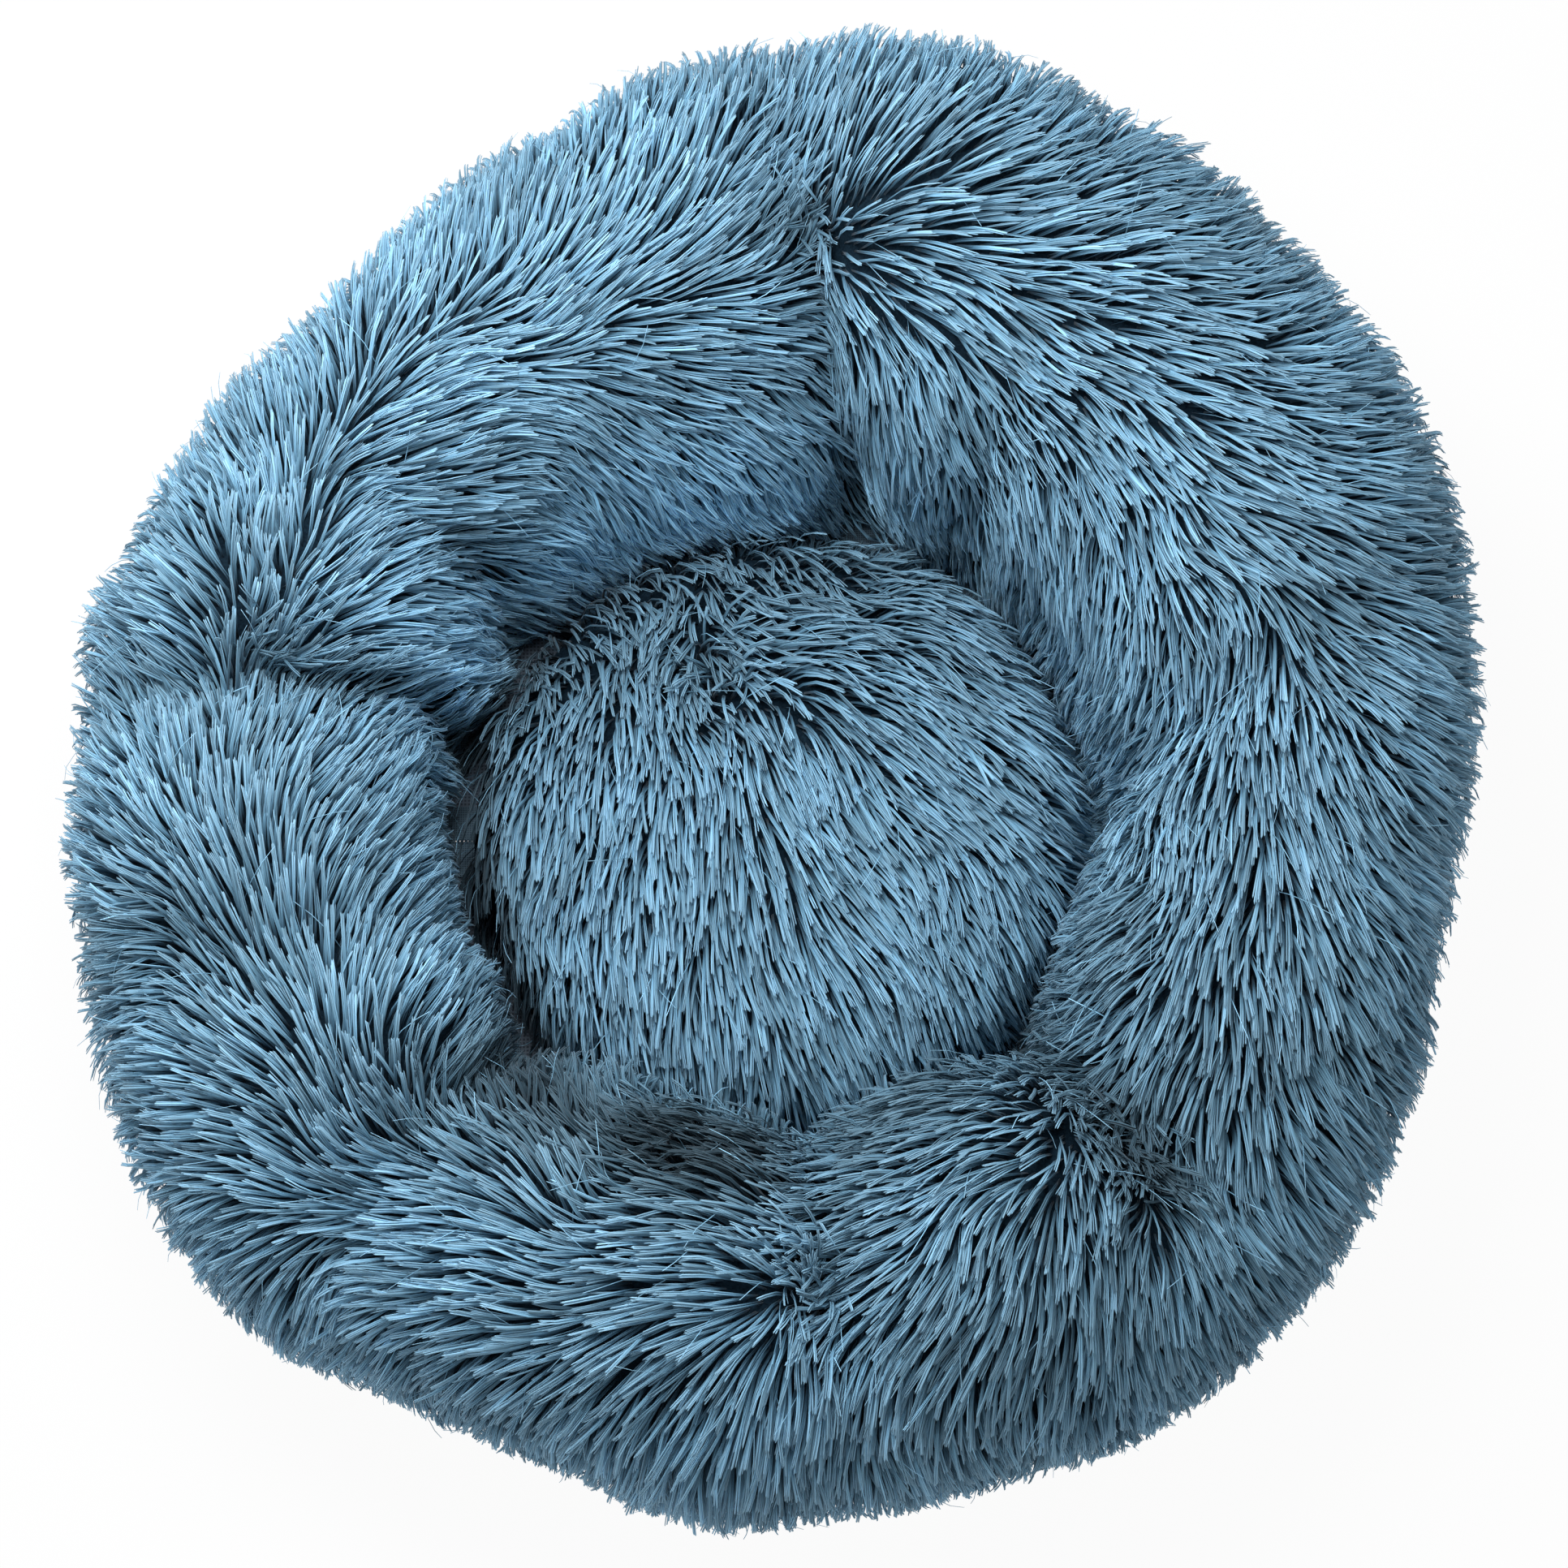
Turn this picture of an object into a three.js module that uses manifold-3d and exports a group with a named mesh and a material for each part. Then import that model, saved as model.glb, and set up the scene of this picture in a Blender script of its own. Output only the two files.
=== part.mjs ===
// Round dog bed: a stuffed fur bolster ring round a stuffed fur cushion, on a base cloth with a zip.
// Millimetres, +Z up. The bed stands on z = 0, with the middle of its box over the origin.
// The shapes are worked out about the middle of the nest, and the whole bed is then moved to that origin.

import * as THREE from 'three';
import { mergeVertices } from 'three/addons/utils/BufferGeometryUtils.js';
import Module from 'manifold-3d';

const wasm = await Module();
wasm.setup();

// Bolster ring, measured over the fur
const OUTER_RADIUS = 300;
const NEST_RADIUS = 134;
const BED_HEIGHT = 190;
const FUR_THICKNESS = 17;
const CREASE_DEPTH = 26;

// Centre cushion, measured over the fur
const CUSHION_GAP = 5;
const CUSHION_HEIGHT = 76;
const CUSHION_SHOULDER = 36;
const CUSHION_FLARE = 10;
const DENT_DEPTH = 9;
const DENT_RADIUS = 26;

// Cloths, tapes and the room between layers
const BASE_CLOTH = 1;
const LINER_CLOTH = 1.5;
const LAYER_GAP = 1;
const SEAT_GAP = 0.3;
const SEAM_GAP = 0.3;
const SEAM_TAPE_HEIGHT = 1.6;
const BINDING_WIDTH = 2.6;
const BINDING_HEIGHT = 3.4;
const CUT_OVERRUN = 5;

// Zip
const ZIP_LENGTH = 368;
const TAPE_WIDTH = 15;
const TAPE_THICKNESS = 0.6;
const TAPE_END = 14;
const CHAIN_GAP = 1.4;
const COIL_WIDTH = 2.4;
const COIL_THICKNESS = 1.6;
const STITCH_GAP = 0.1;
const STOP_LENGTH = 3;
const STOP_WIDTH = 2.8;
const END_TAB_LENGTH = 8;
const END_TAB_THICKNESS = 0.8;

// Pocket across the underside that keeps the zip off the floor
const POCKET_DEPTH = 6.6;
const POCKET_HALF_WIDTH = 20;
const POCKET_RAMP = 12;
const POCKET_END_ROOM = 5;
const SLOT_HALF_WIDTH = 7.5;

// Zip slider and pull tab
const SLIDER_LENGTH = 15;
const SLIDER_HALF_WIDTH = 5.2;
const SLIDER_WAIST_HALF_WIDTH = 4.3;
const SLIDER_PLATE = 1;
const SLIDER_CLEARANCE = 0.3;
const SLIDER_END_ROOM = 0.5;
const SLIDER_CORNER = 1;
const FLANGE_WALL = 1;
const POST_WIDTH = 0.7;
const POST_LENGTH = 6;
const BRIDGE_WIDTH = 2;
const BRIDGE_LENGTH = 9;
const BRIDGE_LEG = 1.4;
const BRIDGE_OPENING = 2.4;
const BRIDGE_BAR = 1.2;
const TAB_LENGTH = 25;
const TAB_HALF_WIDTH = 3.6;
const TAB_THICKNESS = 1.2;
const TAB_CORNER = 1.4;
const TAB_SIDE_CLEARANCE = 0.5;
const TAB_WINDOW_ROOM = 1.2;
const TAB_HOLE_LENGTH = 9;
const TAB_HOLE_HALF_WIDTH = 1.6;
const TAB_HOLE_END = 3;
const CORNER_STEPS = 4;

// Plan outline of the ring, every 15 degrees from +X, as shares of the outer radius.
// It is pressed in at the far left.
const OUTLINE_SHARES = [
  0.938, 0.986, 1.026, 1.041, 1.077, 1.095, 1.075, 0.998, 0.932, 0.895, 0.921, 0.937,
  0.935, 0.939, 0.973, 0.99, 0.941, 0.942, 0.968, 0.963, 0.984, 0.98, 0.948, 0.914,
];

// Height of the crown, every 30 degrees, as shares of the bed's height
const CROWN_SHARES = [0.98, 1, 1, 0.97, 1, 0.98, 0.96, 0.98, 0.94, 0.94, 0.97, 0.95];

// Creases across the ring, in order round it: the angle of each at the nest, the crown and the outside,
// its depth there as shares of the crease depth, and half its width in degrees
const CREASES = [
  { name: 'right_upper', angles: [46, 60, 65], depthShares: [0.35, 0.35, 0.1], halfWidth: 6 },
  { name: 'far_seam', angles: [67, 86, 88], depthShares: [0.65, 1, 0.3], halfWidth: 6 },
  { name: 'left_upper', angles: [136, 150, 154], depthShares: [0.6, 0.4, 0.1], halfWidth: 6 },
  { name: 'left_seam', angles: [159, 174, 172], depthShares: [0.6, 0.9, 0.6], halfWidth: 6 },
  { name: 'left_lower', angles: [208, 205, 195], depthShares: [0, 0.4, 0.55], halfWidth: 6 },
  { name: 'near_left', angles: [226, 230, 232], depthShares: [0.7, 0.85, 0.4], halfWidth: 7 },
  { name: 'near_middle', angles: [276, 276, 276], depthShares: [0.3, 0.6, 0.4], halfWidth: 6 },
  { name: 'near_right', angles: [313, 311, 308], depthShares: [0.5, 1, 0.3], halfWidth: 8 },
  { name: 'right_lower', angles: [350, 368, 378], depthShares: [0.6, 0.55, 0.25], halfWidth: 7 },
];
const FULL_TURN = 360;
const STATION_DEGREES = 8;
const FEWEST_STATIONS = 4;
const INNER_FADE = [0, 0.25];
const OUTER_FADE = [0.55, 0.8];

// Cross section of the ring: a rounded square, fuller below where it rests
const INNER_END_ANGLE = 246;
const OUTER_END_ANGLE = -70;
const SECTION_STEPS = 12;
const BOTTOM_STEPS = 2;
const UPPER_SQUARENESS = 2.15;
const INNER_SQUARENESS = 8;
const OUTER_SQUARENESS = 4;

// Cross section of the cushion
const CUSHION_SIDES = 30;
const CUSHION_CROWN_STEPS = 6;
const CUSHION_SQUARENESS = 2.9;
const DENT_PLACE_SHARES = [-0.2, 0.3];

// Heights worked out from the floor up
const coverFloor = BASE_CLOTH + SEAT_GAP;
const linerFloor = coverFloor + LAYER_GAP;
const linerInside = linerFloor + LINER_CLOTH;
const fillFloor = linerInside + LAYER_GAP;
const linerInset = FUR_THICKNESS + LAYER_GAP;
const linerInsideInset = linerInset + LINER_CLOTH;
const fillInset = linerInsideInset + LAYER_GAP;
const roofTop = POCKET_DEPTH + BASE_CLOTH;
const tapeFloor = roofTop + SEAT_GAP;
const tapeTop = tapeFloor + TAPE_THICKNESS;
const coilTop = tapeFloor - STITCH_GAP;
const coilFloor = coilTop - COIL_THICKNESS;
const plateTop = coilFloor - SLIDER_CLEARANCE;
const plateFloor = plateTop - SLIDER_PLATE;
const upperPlateFloor = tapeTop + SLIDER_CLEARANCE;
const upperPlateTop = upperPlateFloor + SLIDER_PLATE;
const pocketRoomTop = upperPlateTop + LAYER_GAP;
const linerRoomTop = pocketRoomTop + LAYER_GAP;
const bridgeFloor = plateFloor - BRIDGE_OPENING - BRIDGE_BAR;
const hingeHeight = plateFloor - BRIDGE_OPENING / 2;
const hingeX = ZIP_LENGTH / 2 - STOP_LENGTH - SLIDER_END_ROOM - SLIDER_LENGTH / 2;
const tapeHalfLength = ZIP_LENGTH / 2 + TAPE_END;
const pocketHalfLength = tapeHalfLength + POCKET_END_ROOM;
const reach = 2 * OUTER_RADIUS;

const radians = THREE.MathUtils.degToRad;
const lerp = THREE.MathUtils.lerp;

// Smooth closed curve through evenly spaced shares
function around(shares, degrees) {
  const count = shares.length;
  const turn = ((degrees % FULL_TURN) + FULL_TURN) % FULL_TURN;
  const place = turn * count / FULL_TURN;
  const start = Math.floor(place);
  const f = place - start;
  const [a, b, c, d] = [-1, 0, 1, 2].map((step) => shares[(start + step + count) % count]);
  return b + (f * (c - a + f * (2 * a - 5 * b + 4 * c - d + f * (3 * b - 3 * c + d - a)))) / 2;
}

// Smooth curve through three values, at the nest (q = 0), the crown (q = 1/2) and the outside (q = 1)
function across([atNest, atCrown, atOutside], q) {
  return atNest * (1 - q) * (1 - 2 * q) + atCrown * 4 * q * (1 - q) + atOutside * q * (2 * q - 1);
}

function creaseSink(degrees, q) {
  const fadeIn = THREE.MathUtils.smoothstep(q, ...INNER_FADE);
  const fadeOut = THREE.MathUtils.smoothstep(q, ...OUTER_FADE);
  let sink = 0;
  for (const crease of CREASES) {
    const turn = degrees - across(crease.angles, q);
    const off = turn - FULL_TURN * Math.round(turn / FULL_TURN);
    const depth = CREASE_DEPTH * Math.max(0, across(crease.depthShares, q));
    sink += depth * Math.exp(-((off / crease.halfWidth) ** 2));
  }
  return sink * fadeIn * (1 - fadeOut);
}

function rounded(value, squareness) {
  return Math.sign(value) * Math.abs(value) ** (2 / squareness);
}

function planPoint(radius, degrees) {
  return new THREE.Vector2(radius * Math.cos(radians(degrees)), radius * Math.sin(radians(degrees)));
}

// A point of the ring's section, set in by `inset` at the sides and top and standing on `floor`
function ringPoint(degrees, q, sectionAngle, inset, floor) {
  const outer = OUTER_RADIUS * around(OUTLINE_SHARES, degrees);
  const half = BED_HEIGHT * around(CROWN_SHARES, degrees) / 2;
  const sideways = Math.cos(radians(sectionAngle));
  const upward = Math.sin(radians(sectionAngle));
  const lowerSquareness = sideways < 0 ? INNER_SQUARENESS : OUTER_SQUARENESS;
  const squareness = upward > 0 ? UPPER_SQUARENESS : lowerSquareness;
  const sunk = inset + creaseSink(degrees, q);
  const middleRadius = (outer + NEST_RADIUS) / 2;
  const radius = middleRadius + rounded(sideways, squareness) * ((outer - NEST_RADIUS) / 2 - sunk);
  const rise = rounded(upward, squareness) * (upward > 0 ? half - sunk : half - floor);
  const plan = planPoint(radius, degrees);
  return new THREE.Vector3(plan.x, plan.y, half + rise);
}

// Stations round the ring: each crease is one, and the rest are shared out between the creases
const stations = CREASES.flatMap((crease, index) => {
  const next = CREASES[(index + 1) % CREASES.length];
  const wrap = index + 1 < CREASES.length ? 0 : FULL_TURN;
  const span = Math.max(...next.angles.map((angle, place) => angle + wrap - crease.angles[place]));
  const count = Math.max(FEWEST_STATIONS, Math.round(span / STATION_DEGREES));
  return Array.from({ length: count }, (_, step) => ({ crease, next, wrap, share: step / count }));
});

function stationDegrees(index, q) {
  const { crease, next, wrap, share } = stations[index % stations.length];
  return lerp(across(crease.angles, q), across(next.angles, q) + wrap, share);
}

function stationOf(name) {
  return stations.findIndex((station) => station.crease.name === name && station.share === 0);
}

// The open stretch of a section, from the nest's seam over the crown to the base's seam
function openRow(index, inset, floor, seamTurn = 0) {
  return Array.from({ length: SECTION_STEPS + 1 }, (_, step) => {
    const q = step / SECTION_STEPS;
    const angle = lerp(INNER_END_ANGLE, OUTER_END_ANGLE, q);
    return ringPoint(stationDegrees(index, q) + seamTurn, q, angle, inset, floor);
  });
}

// A whole section: the open stretch, then back along the bottom
function closedRow(index, inset, floor) {
  const bottom = [];
  for (let step = 1; step <= BOTTOM_STEPS; step += 1) {
    const back = step / (BOTTOM_STEPS + 1);
    const angle = lerp(OUTER_END_ANGLE, INNER_END_ANGLE - FULL_TURN, back);
    bottom.push(ringPoint(stationDegrees(index, 1 - back), 0, angle, inset, floor));
  }
  return [...openRow(index, inset, floor), ...bottom];
}

// Cells between rows of points, as triangles
function cells(rows, closeRows, closeColumns) {
  const triangles = [];
  const rowCount = closeRows ? rows.length : rows.length - 1;
  const columnCount = closeColumns ? rows[0].length : rows[0].length - 1;
  for (let i = 0; i < rowCount; i += 1) {
    const here = rows[i];
    const next = rows[(i + 1) % rows.length];
    for (let j = 0; j < columnCount; j += 1) {
      const k = (j + 1) % here.length;
      triangles.push(here[j], next[j], next[k]);
      triangles.push(here[j], next[k], here[k]);
    }
  }
  return triangles;
}

// A sheet with thickness: both faces are cut up alike, so that sheets laid in layers keep their gap
function thickSheet(outside, inside, closeRows) {
  const nestEdge = outside.map((row, index) => [inside[index][0], row[0]]);
  const baseEdge = outside.map((row, index) => [row.at(-1), inside[index].at(-1)]);
  const faces = [
    ...cells(outside, closeRows, false),
    ...cells(inside, closeRows, false).reverse(),
    ...cells(nestEdge, closeRows, false),
    ...cells(baseEdge, closeRows, false),
  ];
  if (!closeRows) {
    faces.push(...cells([inside[0], outside[0]], false, false));
    faces.push(...cells([inside.at(-1), outside.at(-1)], false, false).reverse());
  }
  return faces;
}

// Closed body from triangles: vertices merged, flat triangles dropped, faces outward
function bodyOf(triangles) {
  const loose = new THREE.BufferGeometry().setFromPoints(triangles);
  const merged = mergeVertices(loose);
  const place = merged.getAttribute('position');
  const old = merged.getIndex().array;
  const kept = [];
  let volume = 0;
  for (let i = 0; i < old.length; i += 3) {
    const [a, b, c] = [old[i], old[i + 1], old[i + 2]];
    if (a !== b && b !== c && c !== a) {
      kept.push(a, b, c);
      const [p, q, r] = [a, b, c].map((corner) => new THREE.Vector3().fromBufferAttribute(place, corner));
      volume += p.dot(q.cross(r));
    }
  }
  merged.setIndex(volume < 0 ? kept.reverse() : kept);
  return merged;
}

function solid(geometry) {
  const bare = geometry.clone();
  bare.deleteAttribute('normal');
  bare.deleteAttribute('uv');
  const merged = mergeVertices(bare);
  const vertProperties = new Float32Array(merged.getAttribute('position').array);
  const triVerts = new Uint32Array(merged.getIndex().array);
  return new wasm.Manifold(new wasm.Mesh({ numProp: 3, vertProperties, triVerts }));
}

function geometryOf(manifold) {
  const mesh = manifold.getMesh();
  const geometry = new THREE.BufferGeometry();
  geometry.setAttribute('position', new THREE.BufferAttribute(new Float32Array(mesh.vertProperties), 3));
  geometry.setIndex(new THREE.BufferAttribute(new Uint32Array(mesh.triVerts), 1));
  return geometry;
}

// A box between two corners
function block(low, high) {
  const size = high.map((value, axis) => value - low[axis]);
  const middle = high.map((value, axis) => (value + low[axis]) / 2);
  return solid(new THREE.BoxGeometry(...size).translate(...middle));
}

function band(lowZ, highZ) {
  return block([-reach, -reach, lowZ], [reach, reach, highZ]);
}

function nearSide(gap) {
  return block([-reach, -reach, -reach], [reach, -gap / 2, reach]);
}

function farSide(gap) {
  return block([-reach, gap / 2, -reach], [reach, reach, reach]);
}

// Flat plate of a shape, between two heights
function plate(shape, floor, top) {
  const settings = { depth: top - floor, bevelEnabled: false, curveSegments: CORNER_STEPS };
  const geometry = new THREE.ExtrudeGeometry(shape, settings);
  return solid(geometry.translate(0, 0, floor));
}

// Rectangle with rounded corners, lying on its side between two x places
function roundedBar(shape, fromX, toX, halfWidth, corner) {
  shape.moveTo(fromX + corner, -halfWidth);
  shape.lineTo(toX - corner, -halfWidth);
  shape.absarc(toX - corner, -halfWidth + corner, corner, -Math.PI / 2, 0, false);
  shape.lineTo(toX, halfWidth - corner);
  shape.absarc(toX - corner, halfWidth - corner, corner, 0, Math.PI / 2, false);
  shape.lineTo(fromX + corner, halfWidth);
  shape.absarc(fromX + corner, halfWidth - corner, corner, Math.PI / 2, Math.PI, false);
  shape.lineTo(fromX, -halfWidth + corner);
  shape.absarc(fromX + corner, -halfWidth + corner, corner, Math.PI, Math.PI * 1.5, false);
  return shape;
}

// Pocket with sloping sides: `grow` widens it, and it runs from `floor` up to `top`
function pocketBody(grow, floor, top) {
  const slope = POCKET_RAMP / POCKET_DEPTH;
  const corners = [floor, top].map((height) => {
    const spread = grow + slope * (POCKET_DEPTH - height);
    const x = pocketHalfLength + spread;
    const y = POCKET_HALF_WIDTH + spread;
    return [[x, y], [-x, y], [-x, -y], [x, -y]].map(([px, py]) => new THREE.Vector3(px, py, height));
  });
  const bottomMiddle = new THREE.Vector3(0, 0, floor);
  const topMiddle = new THREE.Vector3(0, 0, top);
  const rows = [0, 1, 2, 3].map((side) => [bottomMiddle, corners[0][side], corners[1][side], topMiddle]);
  return solid(bodyOf(cells(rows, true, false)));
}

const rampLean = Math.hypot(POCKET_RAMP, POCKET_DEPTH) / POCKET_DEPTH;
const pocketUnderCloth = pocketBody(0, -CUT_OVERRUN, POCKET_DEPTH);
const pocketOverCloth = pocketBody(BASE_CLOTH * rampLean, 0, roofTop);
const coverPocket = pocketBody(coverFloor * rampLean, -CUT_OVERRUN, pocketRoomTop);
const linerPocket = pocketBody(linerFloor * rampLean, -CUT_OVERRUN, linerRoomTop);
const linerPocketInside = pocketBody(linerInside * rampLean, -CUT_OVERRUN, linerRoomTop + LINER_CLOTH);
const fillPocket = pocketBody(fillFloor * rampLean, -CUT_OVERRUN, linerRoomTop + LINER_CLOTH + LAYER_GAP);

// Fur cover of the bolster: two thick panels, joined where the pile parts at the two cross seams
function coverPanel(fromName, toName) {
  const first = stationOf(fromName);
  const last = stationOf(toName) > first ? stationOf(toName) : stationOf(toName) + stations.length;
  const turn = THREE.MathUtils.radToDeg(SEAM_GAP / 2 / NEST_RADIUS);
  const outside = [];
  const inside = [];
  for (let index = first; index <= last; index += 1) {
    const seamTurn = index === first ? turn : index === last ? -turn : 0;
    outside.push(openRow(index, 0, coverFloor, seamTurn));
    inside.push(openRow(index, FUR_THICKNESS, coverFloor, seamTurn));
  }
  return solid(bodyOf(thickSheet(outside, inside, false))).subtract(coverPocket);
}

function ringBody(inset, floor) {
  return solid(bodyOf(cells(stations.map((_, index) => closedRow(index, inset, floor)), true, true)));
}

const farPanel = coverPanel('far_seam', 'left_seam');
const nearPanel = coverPanel('left_seam', 'far_seam');
const bolsterBag = ringBody(linerInset, linerFloor).subtract(linerPocket);
const bolsterBagInside = ringBody(linerInsideInset, linerInside).subtract(linerPocketInside);
const bolsterLiner = bolsterBag.subtract(bolsterBagInside);
const bolsterFill = ringBody(fillInset, fillFloor).subtract(fillPocket);
const linerSplit = BED_HEIGHT / 2;
const bolsterLinerUpper = bolsterLiner.intersect(band(linerSplit + SEAM_GAP / 2, reach));
const bolsterLinerLower = bolsterLiner.intersect(band(-reach, linerSplit - SEAM_GAP / 2));

// Cushion: a crowned pad with an off-centre dent, its sides running down and out to the nest's seam
function cushionRow(degrees, inset, floor, closed) {
  const radius = NEST_RADIUS - CUSHION_GAP - inset;
  const crown = CUSHION_HEIGHT - CUSHION_SHOULDER - inset;
  const dentX = DENT_PLACE_SHARES[0] * NEST_RADIUS;
  const dentY = DENT_PLACE_SHARES[1] * NEST_RADIUS;
  const at = (r, z) => {
    const x = r * Math.cos(radians(degrees));
    const y = r * Math.sin(radians(degrees));
    const far = Math.hypot(x - dentX, y - dentY) / DENT_RADIUS;
    const over = Math.max(0, z - CUSHION_SHOULDER) / crown;
    return new THREE.Vector3(x, y, z - DENT_DEPTH * over * Math.exp(-far * far));
  };
  const row = [];
  for (let step = 0; step <= CUSHION_CROWN_STEPS; step += 1) {
    const angle = Math.PI / 2 * (1 - step / CUSHION_CROWN_STEPS);
    const r = radius * rounded(Math.cos(angle), CUSHION_SQUARENESS);
    const rise = crown * rounded(Math.sin(angle), CUSHION_SQUARENESS);
    row.push(at(step === 0 ? 0 : r, CUSHION_SHOULDER + rise));
  }
  row.push(at(radius + CUSHION_FLARE, floor));
  if (closed) row.push(at(0, floor));
  return row;
}

function cushionRows(inset, floor, closed) {
  return Array.from({ length: CUSHION_SIDES }, (_, side) => {
    return cushionRow(side * FULL_TURN / CUSHION_SIDES, inset, floor, closed);
  });
}

function cushionBody(inset, floor) {
  return solid(bodyOf(cells(cushionRows(inset, floor, true), true, false)));
}

function cushionCoverBody() {
  const outside = cushionRows(0, coverFloor, false);
  const inside = cushionRows(FUR_THICKNESS, coverFloor, false);
  return solid(bodyOf(thickSheet(outside, inside, true))).subtract(coverPocket);
}

const cushionCover = cushionCoverBody();
const cushionBag = cushionBody(linerInset, linerFloor).subtract(linerPocket);
const cushionBagInside = cushionBody(linerInsideInset, linerInside).subtract(linerPocketInside);
const cushionLiner = cushionBag.subtract(cushionBagInside);
const cushionFill = cushionBody(fillInset, fillFloor).subtract(fillPocket);
const cushionLinerUpper = cushionLiner.intersect(band(CUSHION_SHOULDER + SEAM_GAP / 2, reach));
const cushionLinerLower = cushionLiner.intersect(band(-reach, CUSHION_SHOULDER - SEAM_GAP / 2));

// A closed band round the nest or the base, between two plan outlines
function ringBand(insideAt, outsideAt, floor, top) {
  const rows = stations.map((_, index) => {
    const inner = insideAt(index);
    const outer = outsideAt(index);
    return [[inner, floor], [outer, floor], [outer, top], [inner, top]].map(([place, height]) => {
      return new THREE.Vector3(place.x, place.y, height);
    });
  });
  return solid(bodyOf(cells(rows, true, true)));
}

// Seam tape under the nest's edge, where cushion cover, bolster cover and base cloth are sewn together
const cushionFoot = NEST_RADIUS - CUSHION_GAP + CUSHION_FLARE;
const seamTape = ringBand(
  (index) => planPoint(cushionFoot + LAYER_GAP, stationDegrees(index, 0)),
  (index) => {
    const foot = ringPoint(stationDegrees(index, 0), 0, INNER_END_ANGLE, 0, coverFloor);
    return planPoint(Math.hypot(foot.x, foot.y) - SEAT_GAP, stationDegrees(index, 0));
  },
  coverFloor,
  coverFloor + SEAM_TAPE_HEIGHT,
).subtract(coverPocket);

// Base cloth: two panels that meet along the zip, and the binding round their edge
function baseEdge(index, grow) {
  const degrees = stationDegrees(index, 1);
  const foot = ringPoint(degrees, 1, OUTER_END_ANGLE, 0, coverFloor);
  return planPoint(Math.hypot(foot.x, foot.y) + grow, degrees);
}

const baseOutline = new THREE.Shape(stations.map((_, index) => baseEdge(index, 0)));
const zipSlot = block(
  [-tapeHalfLength + END_TAB_LENGTH, -SLOT_HALF_WIDTH, 0],
  [tapeHalfLength - END_TAB_LENGTH, SLOT_HALF_WIDTH, roofTop + CUT_OVERRUN],
);
const flatCloth = plate(baseOutline, 0, BASE_CLOTH);
const baseCloth = flatCloth.add(pocketOverCloth).subtract(pocketUnderCloth).subtract(zipSlot);
const baseBinding = ringBand(
  (index) => baseEdge(index, SEAT_GAP),
  (index) => baseEdge(index, SEAT_GAP + BINDING_WIDTH),
  0,
  BINDING_HEIGHT,
);

// Zip tapes, coils, stops and end tabs; side is -1 for the near half and 1 for the far half
function zipStrip(side, fromX, toX, fromY, toY, floor, top) {
  const near = side < 0 ? -toY : fromY;
  const far = side < 0 ? -fromY : toY;
  return block([fromX, near, floor], [toX, far, top]);
}

function zipTape(side) {
  const outerEdge = CHAIN_GAP / 2 + TAPE_WIDTH;
  return zipStrip(side, -tapeHalfLength, tapeHalfLength, CHAIN_GAP / 2, outerEdge, tapeFloor, tapeTop);
}

function zipCoil(side) {
  const half = ZIP_LENGTH / 2 - STOP_LENGTH - SEAT_GAP;
  return zipStrip(side, -half, half, CHAIN_GAP / 2, CHAIN_GAP / 2 + COIL_WIDTH, coilFloor, coilTop);
}

function topStop(side) {
  const from = ZIP_LENGTH / 2 - STOP_LENGTH;
  const outerEdge = CHAIN_GAP / 2 + STOP_WIDTH;
  return zipStrip(side, from, ZIP_LENGTH / 2, CHAIN_GAP / 2, outerEdge, coilFloor, coilTop);
}

function bottomStop() {
  const half = CHAIN_GAP / 2 + STOP_WIDTH;
  return block([-ZIP_LENGTH / 2, -half, coilFloor], [-ZIP_LENGTH / 2 + STOP_LENGTH, half, coilTop]);
}

function endTab(side) {
  const floor = tapeTop + STITCH_GAP;
  const half = CHAIN_GAP / 2 + TAPE_WIDTH;
  const from = side < 0 ? -tapeHalfLength : tapeHalfLength - END_TAB_LENGTH;
  return block([from, -half, floor], [from + END_TAB_LENGTH, half, floor + END_TAB_THICKNESS]);
}

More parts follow.
